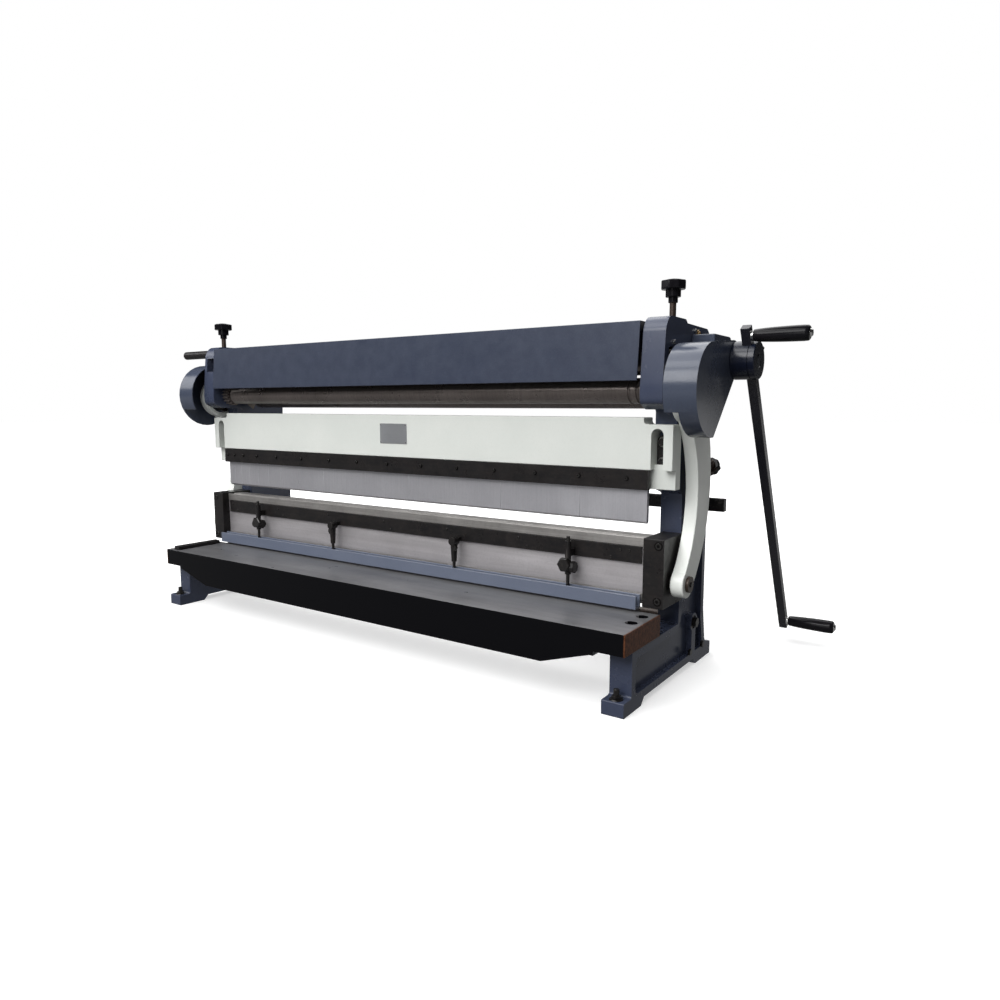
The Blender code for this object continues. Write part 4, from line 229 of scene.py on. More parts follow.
looks = {
    "enamelSlate": {
        "base": (0.050, 0.061, 0.092), "patch": (0.059, 0.071, 0.105), "fleck": (0.040, 0.048, 0.074),
        "specular": 0.42, "rough": (0.17, 0.27), "coat": 0.04, "bumpScale": 70, "bump": 0.1,
        "wear": (0.12, 0.13, 0.16), "wearMix": 0.3},
    # The frames' copy of the slate enamel, darker and bluer than the covers' copy: painted shade fitted to
    # how the frames are lit
    "frameEnamelShaded": {
        "base": (0.044, 0.054, 0.091), "patch": (0.052, 0.063, 0.103), "fleck": (0.036, 0.044, 0.074),
        "specular": 0.36, "rough": (0.2, 0.3), "coat": 0.02, "bumpScale": 70, "bump": 0.1,
        "wear": (0.12, 0.13, 0.17), "wearMix": 0.3},
    "coverPaint": {
        "base": (0.033, 0.041, 0.067), "patch": (0.042, 0.051, 0.079), "fleck": (0.062, 0.072, 0.102),
        "patchScale": 34, "fleckScale": 520, "fleckMix": 0.5, "specular": 0.2, "rough": (0.28, 0.42),
        "bumpScale": 900, "bump": 0.12, "wear": (0.16, 0.17, 0.21), "wearMix": 0.3},
    "holdPaint": {
        "base": (0.115, 0.135, 0.188), "patch": (0.130, 0.150, 0.204), "fleck": (0.09, 0.108, 0.152),
        "rough": (0.28, 0.42), "coat": 0.2, "bump": 0.15, "wear": (0.26, 0.28, 0.32), "wearMix": 0.5},
    # One white paint in two copies: the beam's darker copy is painted shade from the head above it, the
    # arms' lighter copy is painted light
    "beamWhiteShaded": {
        "base": (0.66, 0.685, 0.65), "patch": (0.70, 0.72, 0.685), "fleck": (0.60, 0.62, 0.58),
        "patchScale": 9, "fleckMix": 0.25, "rough": (0.3, 0.44), "coat": 0.2, "coatRough": 0.15,
        "bumpScale": 150, "bump": 0.22, "wear": (0.45, 0.45, 0.42), "wearMix": 0.3},
    "armWhiteLit": {
        "base": (0.85, 0.875, 0.835), "patch": (0.88, 0.90, 0.86), "fleck": (0.77, 0.79, 0.75),
        "patchScale": 9, "fleckMix": 0.25, "rough": (0.3, 0.44), "coat": 0.1, "coatRough": 0.15,
        "bumpScale": 150, "bump": 0.22, "wear": (0.5, 0.5, 0.47), "wearMix": 0.3},
    "blackOxide": {
        "base": (0.006, 0.006, 0.007), "patch": (0.014, 0.012, 0.012), "fleck": (0.034, 0.029, 0.026),
        "patchScale": 26, "fleckScale": 150, "specular": 0.22, "rough": (0.22, 0.5), "lines": (9, 160, 160),
        "line": (0.022, 0.019, 0.018), "lineMix": 0.45, "bump": 0.16, "depth": 0.0002,
        "wear": (0.12, 0.11, 0.105)},
    "groundSteel": {
        "base": (0.49, 0.485, 0.515), "patch": (0.57, 0.565, 0.595), "fleck": (0.40, 0.40, 0.425),
        "metallic": 0.7, "rough": (0.34, 0.46), "lines": (900, 40, 12), "line": (0.36, 0.36, 0.385),
        "bump": 0.2, "depth": 0.0001, "wear": (0.6, 0.6, 0.6)},
    "dieSteel": {
        "base": (0.35, 0.337, 0.325), "patch": (0.44, 0.422, 0.408), "fleck": (0.22, 0.21, 0.202),
        "metallic": 0.7, "rough": (0.34, 0.48), "lines": (5, 420, 420), "line": (0.22, 0.209, 0.2),
        "patchScale": 16, "fleckScale": 110, "lineMix": 0.7,
        "bump": 0.15, "depth": 0.0001, "wear": (0.6, 0.59, 0.58)},
    "ramSteel": {
        "base": (0.50, 0.477, 0.49), "patch": (0.62, 0.595, 0.61), "fleck": (0.38, 0.362, 0.37),
        "metallic": 0.6, "rough": (0.36, 0.5), "lines": (2.5, 60, 60), "line": (0.36, 0.342, 0.348),
        "patchScale": 5, "lineMix": 0.6,
        "bump": 0.15, "depth": 0.0001, "wear": (0.4, 0.4, 0.4)},
    "tableIron": {
        "base": (0.18, 0.18, 0.19), "patch": (0.25, 0.25, 0.257), "fleck": (0.14, 0.14, 0.147),
        "patchScale": 4, "lines": (3, 26, 26), "line": (0.11, 0.11, 0.116), "lineMix": 0.65,
        "metallic": 0.4, "specular": 0.07, "rough": (0.27, 0.36), "front": (0.0035, 0.0035, 0.0045),
        "end": (0.15, 0.060, 0.030), "endPatch": (0.06, 0.021, 0.010), "bump": 0.08, "depth": 0.0002,
        "endAt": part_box("work_table")[1].x - machine.x},
    "rollSteel": {
        "base": (0.15, 0.129, 0.120), "patch": (0.21, 0.181, 0.169), "fleck": (0.095, 0.082, 0.076),
        "metallic": 0.7, "rough": (0.24, 0.38), "lines": (260, 6, 6), "line": (0.095, 0.082, 0.076),
        "bump": 0.12, "depth": 0.0001},
    "blackPlastic": {
        "base": (0.006, 0.006, 0.008), "patch": (0.010, 0.009, 0.011), "fleck": (0.016, 0.016, 0.018),
        "specular": 0.13, "rough": (0.08, 0.17), "bump": 0.05, "bumpScale": 120},
    "hubPaint": {
        "base": (0.003, 0.005, 0.015), "patch": (0.005, 0.008, 0.020), "fleck": (0.01, 0.013, 0.026),
        "specular": 0.4, "rough": (0.2, 0.3), "coat": 0.02, "bump": 0.1, "wear": (0.10, 0.12, 0.15)},
    "crankPaint": {
        "base": (0.009, 0.009, 0.015), "patch": (0.014, 0.014, 0.021), "fleck": (0.020, 0.017, 0.020),
        "specular": 0.45, "rough": (0.2, 0.34), "coat": 0.06, "bump": 0.12, "wear": (0.06, 0.05, 0.05)},
    "brightSteel": {
        "base": (0.62, 0.62, 0.61), "patch": (0.70, 0.70, 0.69), "fleck": (0.5, 0.5, 0.49),
        "metallic": 1, "rough": (0.18, 0.3), "bump": 0.08},
    "dullSteel": {
        "base": (0.20, 0.195, 0.19), "patch": (0.27, 0.26, 0.255), "fleck": (0.12, 0.115, 0.11),
        "metallic": 0.9, "rough": (0.26, 0.42), "bump": 0.12, "wear": (0.5, 0.5, 0.5)},
    "blackScrew": {
        "base": (0.010, 0.009, 0.009), "patch": (0.018, 0.016, 0.015), "fleck": (0.05, 0.044, 0.04),
        "metallic": 0.3, "specular": 0.6, "rough": (0.14, 0.3), "bump": 0.08},
    "boreShade": {
        "base": (0.0012, 0.0011, 0.001), "patch": (0.002, 0.0018, 0.0016),
        "fleck": (0.004, 0.0035, 0.003),
        "specular": 0.1, "rough": (0.4, 0.6), "bump": 0.1},
    "brass": {
        "base": (0.50, 0.36, 0.20), "patch": (0.42, 0.29, 0.15), "fleck": (0.30, 0.21, 0.11),
        "metallic": 1, "rough": (0.3, 0.44), "bump": 0.08},
    "plate": {
        "base": (0.40, 0.41, 0.43), "patch": (0.46, 0.47, 0.49), "fleck": (0.34, 0.35, 0.37),
        "metallic": 0.8, "rough": (0.34, 0.44), "lines": (10, 60, 900), "line": (0.36, 0.37, 0.39),
        "bump": 0.08, "depth": 0.0001},
    "gearSteel": {
        "base": (0.10, 0.088, 0.076), "patch": (0.14, 0.125, 0.11), "fleck": (0.045, 0.04, 0.035),
        "metallic": 0.8, "rough": (0.22, 0.4), "bump": 0.15},
    "brownSteel": {
        "base": (0.040, 0.027, 0.021), "patch": (0.062, 0.043, 0.034), "fleck": (0.02, 0.015, 0.012),
        "metallic": 0.4, "specular": 0.4, "rough": (0.3, 0.5), "bump": 0.2, "wear": (0.2, 0.17, 0.14)},
}
made = {name: surface(name, look) for name, look in looks.items()}
print("stage: materials made")


# Meshes
pieceHome = bpy.data.collections.new("dressed_machine")
scene.collection.children.link(pieceHome)


def plainMesh(source):
    bpy.context.view_layer.update()
    graph = bpy.context.evaluated_depsgraph_get()
    return bpy.data.meshes.new_from_object(source.evaluated_get(graph))


def finished(name, mesh, body, materials):
    mesh.materials.clear()
    for material in materials:
        mesh.materials.append(made[material])
    piece = bpy.data.objects.new(name, mesh)
    pieceHome.objects.link(piece)
    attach(piece, body)
    return piece


# Angles are in radians, distances in metres
edging = {
    "merge": 0.00001, "flat": 0.004, "crease": 0.64, "worn": (0.6, 1.0),
    "manyCorners": 90, "smallShare": 0.12, "segments": 2, "rimSegments": 5, "flatCorners": 5,
}


def markWear(mesh):
    # The bevels' own edges are the ones that lose their paint
    bm = bmesh.new()
    bm.from_mesh(mesh)
    least, most = edging["worn"]
    values = []
    for vert in bm.verts:
        folds = [edge.calc_face_angle(0) for edge in vert.link_edges if len(edge.link_faces) == 2]
        values.append(1.0 if folds and least < max(folds) < most else 0.0)
    bm.free()
    wear = mesh.attributes.new("wear", "FLOAT", "POINT")
    wear.data.foreach_set("value", values)


def softEdges(name, mesh, width, segments=edging["segments"], fillet=False, only=None):
    # Small rounds on the real edges, flat faces kept flat
    mesh.materials.clear()
    bm = bmesh.new()
    bm.from_mesh(mesh)
    bmesh.ops.remove_doubles(bm, verts=bm.verts, dist=edging["merge"])
    bmesh.ops.dissolve_limit(bm, angle_limit=edging["flat"], verts=bm.verts, edges=bm.edges)
    # A wide face with many corners can fold over itself when its rim is rounded
    wide = [face for face in bm.faces if len(face.verts) > edging["manyCorners"]]
    bmesh.ops.triangulate(bm, faces=wide)
    weights = bm.edges.layers.float.new("bevel_weight_edge")
    for edge in bm.edges:
        if len(edge.link_faces) != 2:
            continue
        if edge.calc_face_angle(0) > edging["crease"]:
            edge.smooth = False
            if edge.is_convex or fillet:
                edge[weights] = 1 if only is None or only(edge) else edging["smallShare"]
    for face in bm.faces:
        face.smooth = True
    bm.to_mesh(mesh)
    bm.free()
    helper = bpy.data.objects.new(name + "_helper", mesh)
    scene.collection.objects.link(helper)
    bevel = helper.modifiers.new("edges", "BEVEL")
    bevel.limit_method = "WEIGHT"
    bevel.width = width / 1000
    bevel.segments = segments
    bevel.use_clamp_overlap = True
    bevel.miter_outer = "MITER_ARC"
    flat = helper.modifiers.new("flat", "TRIANGULATE")
    flat.min_vertices = edging["flatCorners"]
    level = helper.modifiers.new("level", "WEIGHTED_NORMAL")
    level.keep_sharp = True
    soft = plainMesh(helper)
    soft.name = name
    bpy.data.objects.remove(helper)
    markWear(soft)
    return soft


# Nodes whose ends, rods or pins have another finish, and where it starts, in millimetres
secondFinish = {
    "crank_bar": ("brightSteel", lambda spot: spot.x > 821.05),
    "top_knob_left": ("brownSteel", lambda spot: spot.z < 757),
    "top_knob_right": ("brownSteel", lambda spot: spot.z < 757),
    "rear_knob_left": ("brownSteel", lambda spot: spot.y < 222),
    "rear_knob_right": ("brownSteel", lambda spot: spot.y < 222),
    "hold_down": ("blackScrew", lambda spot: spot.z > 190),
    "ram_end_left": ("brownSteel", lambda spot: spot.x < -740),
    "ram_end_right": ("brownSteel", lambda spot: spot.x > 740),
    "release_bar": ("dullSteel", lambda spot: spot.x < -826),
    "rear_stop": ("dullSteel", lambda spot: spot.y < 159),
}


def refined(nodeName, material, width, fillet, only):
    node = nodes[nodeName]
    segments = edging["rimSegments"] if only else edging["segments"]
    soft = softEdges(nodeName + "_dressed", node.data.copy(), width, segments, fillet, only)
    other, isOther = secondFinish.get(nodeName, (material, None))
    piece = finished(nodeName + "_dressed", soft, homes[node.parent], [material, other])
    if isOther:
        for polygon in soft.polygons:
            if isOther((polygon.center - machine) * 1000):
                polygon.material_index = 1
    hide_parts(nodeName)


def turned(bm, centre, axis, profile, steps):
    # A turned form: the profile gives (distance along the axis, radius) in millimetres
    axis = Vector(axis).normalized()
    side = axis.orthogonal().normalized()
    other = axis.cross(side)
    rings = []
    for along, radius in profile:
        middle = centre + axis * along / 1000
        ring = []
        for step in range(steps):
            angle = math.tau * step / steps
            outward = side * math.cos(angle) + other * math.sin(angle)
            ring.append(bm.verts.new(middle + outward * radius / 1000))
        rings.append(ring)
    for ring, nextRing in zip(rings, rings[1:]):
        joinRings(bm, ring, nextRing)
    bm.faces.new(list(reversed(rings[0])))
    bm.faces.new(rings[-1])


def joinRings(bm, ring, nextRing):
    for step in range(len(ring)):
        after = (step + 1) % len(ring)
        bm.faces.new((ring[step], ring[after], nextRing[after], nextRing[step]))


def meshOf(bm, name):
    bmesh.ops.recalc_face_normals(bm, faces=bm.faces)
    mesh = bpy.data.meshes.new(name)
    bm.to_mesh(mesh)
    bm.free()
    return mesh


print("stage: helpers ready")


# Repeated fasteners: one head is instanced on points by a node tree
headShape = {"chamfer": 0.12, "socketDepth": 0.6}  # shares of the radius and of the height


def screwHead(name, radius, height, sides=24, socket=0.5, corners=6):
    # A head on the Z axis; the socket's radius is a share of the head's, and corners are the socket's
    bm = bmesh.new()
    chamfer = radius * headShape["chamfer"]
    turned(bm, Vector((0, 0, 0)), (0, 0, 1),
           [(0, radius), (height - chamfer, radius), (height, radius - chamfer)], sides)
    if socket:
        top = max(bm.faces, key=lambda face: face.calc_center_median().z)
        bmesh.ops.delete(bm, geom=[top], context="FACES_ONLY")
        rim = [edge for edge in bm.edges if edge.is_boundary]
        highRing, lowRing = [], []
        for step in range(corners):
            angle = math.tau * step / corners
            corner = Vector((math.cos(angle), math.sin(angle), 0)) * radius * socket / 1000
            corner.z = height / 1000
            highRing.append(bm.verts.new(corner))
        depth = Vector((0, 0, height * headShape["socketDepth"] / 1000))
        for vert in highRing:
            lowRing.append(bm.verts.new(vert.co - depth))
        joinRings(bm, highRing, lowRing)
        nextVerts = highRing[1:] + highRing[:1]
        loop = [bm.edges.get(pair) for pair in zip(highRing, nextVerts)]
        bm.faces.new(lowRing)
        bmesh.ops.bridge_loops(bm, edges=rim + loop)
    return bpy.data.objects.new(name, meshOf(bm, name))


def fastenerTree():
    tree = bpy.data.node_groups.new("fasteners", "GeometryNodeTree")
    inputs = {"Geometry": "Geometry", "Head": "Object", "Facing": "Vector", "Size": "Float", "Turn": "Float",
              "Seed": "Int", "Finish": "Material"}
    for socketName, kind in inputs.items():
        tree.interface.new_socket(socketName, in_out="INPUT", socket_type="NodeSocket" + kind)
    tree.interface.new_socket("Geometry", in_out="OUTPUT", socket_type="NodeSocketGeometry")
    source = addNode(tree, "NodeGroupInput")
    result = addNode(tree, "NodeGroupOutput")
    points = addNode(tree, "GeometryNodeMeshToPoints")
    info = addNode(tree, "GeometryNodeObjectInfo")
    align = addNode(tree, "FunctionNodeAlignRotationToVector", {"axis": "Z"})
    spin = addNode(tree, "FunctionNodeRandomValue", {"data_type": "FLOAT"})
    around = addNode(tree, "ShaderNodeCombineXYZ")
    toSpin = addNode(tree, "FunctionNodeEulerToRotation")
    rotate = addNode(tree, "FunctionNodeRotateRotation", {"rotation_space": "LOCAL"})
    instance = addNode(tree, "GeometryNodeInstanceOnPoints")
    realize = addNode(tree, "GeometryNodeRealizeInstances")
    paint = addNode(tree, "GeometryNodeSetMaterial")
    link = tree.links.new
    link(source.outputs["Geometry"], points.inputs["Mesh"])
    link(source.outputs["Head"], info.inputs["Object"])
    link(source.outputs["Facing"], align.inputs["Vector"])
    link(source.outputs["Turn"], spin.inputs[3])
    link(source.outputs["Seed"], spin.inputs["Seed"])
    link(spin.outputs[1], around.inputs["Z"])
    link(around.outputs[0], toSpin.inputs[0])
    link(align.outputs[0], rotate.inputs[0])
    link(toSpin.outputs[0], rotate.inputs[1])
    link(points.outputs[0], instance.inputs["Points"])
    link(info.outputs["Geometry"], instance.inputs["Instance"])
    link(rotate.outputs[0], instance.inputs["Rotation"])
    link(source.outputs["Size"], instance.inputs["Scale"])
    link(instance.outputs[0], realize.inputs[0])
    link(realize.outputs[0], paint.inputs[0])
    link(source.outputs["Finish"], paint.inputs["Material"])
    link(paint.outputs[0], result.inputs[0])
    return tree


fasteners = fastenerTree()
turnSeed = 3


def fastenerRow(name, head, points, facing, body, material, size=1, turn=math.tau):
    # The points are in millimetres; turn is the widest random turn of a head, in radians
    mesh = bpy.data.meshes.new(name)
    mesh.from_pydata([place(*point) for point in points], [], [])
    helper = bpy.data.objects.new(name + "_points", mesh)
    scene.collection.objects.link(helper)
    modifier = helper.modifiers.new("fasteners", "NODES")
    modifier.node_group = fasteners
    values = {"Head": heads[head], "Facing": facing, "Size": size, "Turn": turn, "Seed": turnSeed,
              "Finish": made[material]}
    for item in fasteners.interface.items_tree:
        if item.in_out == "INPUT" and item.name in values:
            modifier[item.identifier] = values[item.name]
    row = plainMesh(helper)
    bpy.data.objects.remove(helper)
    for polygon in row.polygons:
        polygon.use_smooth = False
    finished(name, row, body, [material])


# Name, radius and height in millimetres
heads = {
    "cap": screwHead("cap_head", 4.6, 4.0),
    "small": screwHead("small_head", 3.0, 1.2, socket=0.52),
    "big": screwHead("big_head", 9.5, 9.0, socket=0.55),
    # A thin near-black disc: painted shade for the dark hollow round a counterbored screw
    "boreShadeDisc": screwHead("bore_shade", 9.6, 0.35, socket=0),
    "endCap": screwHead("end_cap_head", 6.9, 0.8),
    "hex": screwHead("hex_head", 9.5, 6.5, sides=6, socket=0),
    "washer": screwHead("washer", 13.5, 1.8, socket=0),
    "stem": screwHead("stem", 5.6, 18.0, socket=0),
    "rivet": screwHead("rivet", 1.7, 0.9, socket=0),
    "slotted": screwHead("slotted_head", 4.4, 2.4, socket=0.3, corners=4),
}

# Each node's material, the round on its edges in millimetres, and whether inner corners are rounded too
castRound = 5.0  # only on the covers' outer rims
paints = {
    "left_frame": ("frameEnamelShaded", 2.6, True), "right_frame": ("frameEnamelShaded", 2.6, True),
    "work_table": ("tableIron", 1.0, False), "lower_blade": ("gearSteel", 0.3, False),
    "squaring_fence": ("blackOxide", 0.6, False), "upper_beam": ("beamWhiteShaded", 1.6, True),
    "clamp_bar": ("blackOxide", 0.6, False), "top_cover": ("coverPaint", 1.2, False),
    "gear_cover_right": ("enamelSlate", castRound, False),
    "arm_cover_left": ("enamelSlate", castRound, False),
    "pinion_bracket": ("enamelSlate", 1.5, False), "tie_rod": ("brownSteel", 0.6, False),
    "release_bar": ("blackOxide", 0.6, False), "ram": ("ramSteel", 0.8, False),
    "bottom_die": ("dieSteel", 0.5, False), "upper_blade": ("dieSteel", 0.3, False),
    "ram_front_bar": ("blackOxide", 0.5, False), "ram_end_left": ("blackOxide", 1.0, False),
    "ram_end_right": ("blackOxide", 1.0, False), "clamp_plunger_left": ("blackOxide", 0.4, False),
    "clamp_plunger_right": ("blackOxide", 0.4, False), "spring_plunger_left": ("blackOxide", 0.4, False),
    "spring_plunger_right": ("blackOxide", 0.4, False), "hold_down": ("holdPaint", 0.8, False),
    "link_arm_left": ("armWhiteLit", 1.6, False), "link_arm_right": ("armWhiteLit", 1.6, False),
    "lower_roll": ("rollSteel", 0.5, False), "eccentric_left": ("gearSteel", 0.5, False),
    "eccentric_right": ("gearSteel", 0.5, False), "main_gear": ("gearSteel", 0.3, False),
    "idler_gear": ("gearSteel", 0.3, False), "pinion_shaft": ("gearSteel", 0.3, False),
    "crank_bar": ("crankPaint", 0.9, False), "upper_bearing_left": ("gearSteel", 0.5, False),
    "upper_bearing_right": ("gearSteel", 0.5, False), "upper_roll": ("rollSteel", 0.5, False),
    "top_knob_left": ("blackPlastic", 1.0, False), "top_knob_right": ("blackPlastic", 1.0, False),
    "rear_bearing_left": ("gearSteel", 0.5, False), "rear_bearing_right": ("gearSteel", 0.5, False),
    "rear_roll": ("rollSteel", 0.5, False), "rear_knob_left": ("blackPlastic", 1.0, False),
    "rear_knob_right": ("blackPlastic", 1.0, False), "rear_stop": ("blackOxide", 0.6, False),
}
for number in range(1, 13):
    paints[f"finger_{number:02d}"] = ("groundSteel", 0.5, False)


def paintNode(nodeName, material):
    for slotUsed in nodes[nodeName].material_slots:
        slotUsed.material = made[material]


# Metres from the middle to the covers' outer faces, and how level an edge of a rim is
coverRims = {"right": 0.7815, "left": (0.7645, 0.7668), "level": 0.0002}


def outerRim(edge):
    # The long edges round the covers' outer faces get the large cast round
    reach = max(abs(vert.co.x - machine.x) for vert in edge.verts)
    nearest, farthest = coverRims["left"]
    if abs(edge.verts[0].co.x - edge.verts[1].co.x) >= coverRims["level"]:
        return False
    return reach > coverRims["right"] or nearest < reach < farthest


for nodeName, (material, width, fillet) in paints.items():
    refined(nodeName, material, width, fillet, outerRim if width == castRound else None)
    paintNode(nodeName, material)
print("stage: nodes dressed")

# Screws of the clamp bar, the front bar, the end blocks, the feet and the table
clampBar = {
    "screws": [-651, -621, -580, -521, -437, -334, -227, -125, -21, 88, 195, 300, 407, 513, 620],
    "face": -83.0, "height": 417.0, "headSize": 0.8, "boreShadeSize": 0.56,
}
frontBar = {
    "face": -81.2, "low": 255.4, "first": -618.7, "pitch": 201.1, "count": 7,
    "high": 272.0, "highScrews": [-640.8, -439.8, -238.7, -37.7, 163.4, 364.4, 608.6, 628.6],
}
ramEnds = {"across": 696.5, "face": -97.8, "heights": (180.9, 290.5)}
feet = {"across": 681.2, "ends": (-238, 172.5), "top": 27.8, "nutSeat": 29.6}
table = {"across": 681.2, "rows": (-180, -130), "seat": 142.0}
frameSides = {
    "across": 703.7, "bolts": [(66, 37), (142, 35)], "boltSize": 0.8, "tie": (91, 97), "tieSize": 1.2,
    "screws": [(-68.9, 678.5), (41, 707.5), (42, 694)], "screwSize": 0.85,
    "oiler": (62, 703), "cupSize": 0.62, "ballLift": 1.1, "ballSize": 1.1,
    "pivot": (-51, 213), "pivotSize": 1.2,
}
plungers = {
    "clamp": (496, -104, 232.8), "clampSize": 1.65, "spring": (203, -101, 236), "springSize": 0.95,
    "turn": 0.4,
}
forward, upward = (0, -1, 0), (0, 0, 1)
rigid = "frame_and_beam"


def bothSides(across, *rest):
    return [(-across, *rest), (across, *rest)]


clampPoints = [(x, clampBar["face"], clampBar["height"]) for x in clampBar["screws"]]
fastenerRow("clamp_bar_screws", "cap", clampPoints, forward, rigid, "blackScrew",
            clampBar["headSize"])
lowScrews = [(frontBar["first"] + frontBar["pitch"] * step, frontBar["face"], frontBar["low"])
             for step in range(frontBar["count"])]
highScrews = [(x, frontBar["face"], frontBar["high"]) for x in frontBar["highScrews"]]
fastenerRow("front_bar_screws", "small", lowScrews + highScrews, forward, "ram_body",
            "blackScrew")
ramEndPoints = [(side * ramEnds["across"], ramEnds["face"], height) for side in (-1, 1)
                for height in ramEnds["heights"]]
fastenerRow("ram_end_screws", "endCap", ramEndPoints, forward, "ram_body", "blackScrew")
# Near-black discs round the end block and clamp bar screws are painted shade of their counterbores
fastenerRow("ram_end_bores", "boreShadeDisc", ramEndPoints, forward, "ram_body", "boreShade")
fastenerRow("clamp_bar_bores", "boreShadeDisc", clampPoints, forward, rigid, "boreShade",
            clampBar["boreShadeSize"])
footPlaces = [(side * feet["across"], y) for side in (-1, 1) for y in feet["ends"]]
washers = [(x, y, feet["top"]) for x, y in footPlaces]
nuts = [(x, y, feet["nutSeat"]) for x, y in footPlaces]
fastenerRow("foot_washers", "washer", washers, upward, rigid, "blackScrew")
fastenerRow("foot_nuts", "hex", nuts, upward, rigid, "blackScrew")
fastenerRow("foot_studs", "stem", nuts, upward, rigid, "blackScrew")
tablePoints = [(side * table["across"], y, table["seat"]) for side in (-1, 1) for y in table["rows"]]
fastenerRow("table_bolts", "big", tablePoints, upward, rigid, "blackScrew")
for side, facing in (("left", -1), ("right", 1)):
    face = facing * frameSides["across"]
    boltPoints = [(face, *where) for where in frameSides["bolts"]]
    fastenerRow(f"side_bolts_{side}", "hex", boltPoints, (facing, 0, 0), rigid,
                "blackScrew", frameSides["boltSize"])
    fastenerRow(f"tie_nut_{side}", "hex", [(face, *frameSides["tie"])], (facing, 0, 0), rigid,
                "blackScrew", frameSides["tieSize"])
plungerHome = homes[nodes["clamp_plunger_right"].parent]
fastenerRow("clamp_plunger_nuts", "hex", bothSides(*plungers["clamp"]), forward, plungerHome,
            "blackScrew", plungers["clampSize"], plungers["turn"])
fastenerRow("spring_plunger_nuts", "hex", bothSides(*plungers["spring"]), forward, plungerHome,
            "blackScrew", plungers["springSize"], plungers["turn"])
print("stage: fasteners placed")

# Adjusting bolts in the beam's end slots, on a black shoe that seats them and fills each slot as painted
# shade for the slot's dark inside
beamSlot = {
    "across": 681.2, "radius": 12.1, "roundSteps": 12, "top": 490, "bottom": 441, "face": -51, "depth": 12.5,
    "edge": 0.5, "bolts": (489, 449), "washerSize": 0.78, "boltFace": -52.4, "boltSize": 0.85,
}
for side, facing in (("left", -1), ("right", 1)):
    bm = bmesh.new()
    # Over the round top from right to left, then the square bottom: across and height in millimetres
    outline = []
    radius = beamSlot["radius"]
    for step in range(beamSlot["roundSteps"] + 1):
        angle = math.radians(90 + 180 * step / beamSlot["roundSteps"])
        outline.append((radius * math.sin(angle), beamSlot["top"] - radius * math.cos(angle)))
    outline += [(-radius, beamSlot["bottom"]), (radius, beamSlot["bottom"])]
    across = facing * beamSlot["across"]
    frontRing = [bm.verts.new(place(across + x, beamSlot["face"], z)) for x, z in outline]
    backRing = [bm.verts.new(vert.co + Vector((0, beamSlot["depth"] / 1000, 0))) for vert in frontRing]
    joinRings(bm, frontRing, backRing)
    bm.faces.new(frontRing)
    bm.faces.new(list(reversed(backRing)))
    # The shoe is partly painted shade: its black face darkens the slot's inside
    shadeShoe = softEdges(f"slot_shoe_{side}", meshOf(bm, "slot_shoe_form"), beamSlot["edge"])
    finished(f"slot_shoe_{side}", shadeShoe, rigid, ["blackOxide"])
    washerPoints = [(across, beamSlot["face"], z) for z in beamSlot["bolts"]]
    fastenerRow(f"slot_washers_{side}", "washer", washerPoints, forward, rigid, "dullSteel",
                beamSlot["washerSize"])
    boltPoints = [(x, beamSlot["boltFace"], z) for x, y, z in washerPoints]
    fastenerRow(f"slot_bolts_{side}", "hex", boltPoints, forward, rigid, "blackScrew",
                beamSlot["boltSize"])
    # Bright screws, an oil cup and its ball on the head's outer side
    face = facing * frameSides["across"]
    screwPoints = [(face, *where) for where in frameSides["screws"]]
    fastenerRow(f"head_screws_{side}", "cap", screwPoints, (facing, 0, 0), rigid,
                "brightSteel", frameSides["screwSize"])
    fastenerRow(f"oil_cup_{side}", "washer", [(face, *frameSides["oiler"])], (facing, 0, 0), rigid,
                "brass", frameSides["cupSize"])
    ball = face + facing * frameSides["ballLift"]
    fastenerRow(f"oil_ball_{side}", "slotted", [(ball, *frameSides["oiler"])], (facing, 0, 0), rigid,
                "brass", frameSides["ballSize"])
    # Screw on the pivot pin of the link arm
    low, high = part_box(f"ram_end_{side}")
    pinEnd = ((high if facing > 0 else low).x - machine.x) * 1000
    fastenerRow(f"pivot_screw_{side}", "slotted", [(pinEnd, *frameSides["pivot"])], (facing, 0, 0),
                "ram_body", "blackScrew", frameSides["pivotSize"])
print("stage: slots, heads and pivots dressed")

# Hub of the crank: grooved rim, recessed face, the crank bar's way, keyway and radial set screw
hub = {
    "start": 783.3, "end": 829.0, "axis": (54, 646.5), "steps": 96, "edge": 0.35,
    # Distances out from the inner end or in from the outer end, and radii
    "innerProfile": [(0, 36.2), (0.8, 37)],
    "outerProfile": [(13.4, 37), (13.0, 35.2), (12.2, 35.2), (11.8, 37), (1.2, 37), (0, 35.8), (0, 14.2),
                     (1.0, 13.6), (1.0, 11.4), (0.2, 11.0)],
    # The two cuts lean with the crank bar: place along the hub, lift along the bar, size
    "lean": 30.4, "cuts": [(812, 0, (18.7, 18.7, 100)), (829, 9.5, (12, 5.2, 6.2))],
    "screwAt": 823.5, "screwFacing": (0, 0.83, 0.56), "screwOut": 33.5, "screwSize": 0.72,
}
bm = bmesh.new()
long = hub["end"] - hub["start"]
profile = hub["innerProfile"] + [(long - inward, radius) for inward, radius in hub["outerProfile"]]
turned(bm, place(hub["start"], *hub["axis"]), (1, 0, 0), profile, hub["steps"])
helper = bpy.data.objects.new("hub_helper", meshOf(bm, "hub_form"))
scene.collection.objects.link(helper)
lean = Matrix.Rotation(math.radians(hub["lean"]), 4, "X")
bm = bmesh.new()
for along, lift, size in hub["cuts"]:
    leaned = Matrix.Translation(place(along, *hub["axis"])) @ lean @ Matrix.Translation((0, 0, lift / 1000))
    scaled = Matrix.Diagonal((*[length / 1000 for length in size], 1))
    bmesh.ops.create_cube(bm, size=1, matrix=leaned @ scaled)
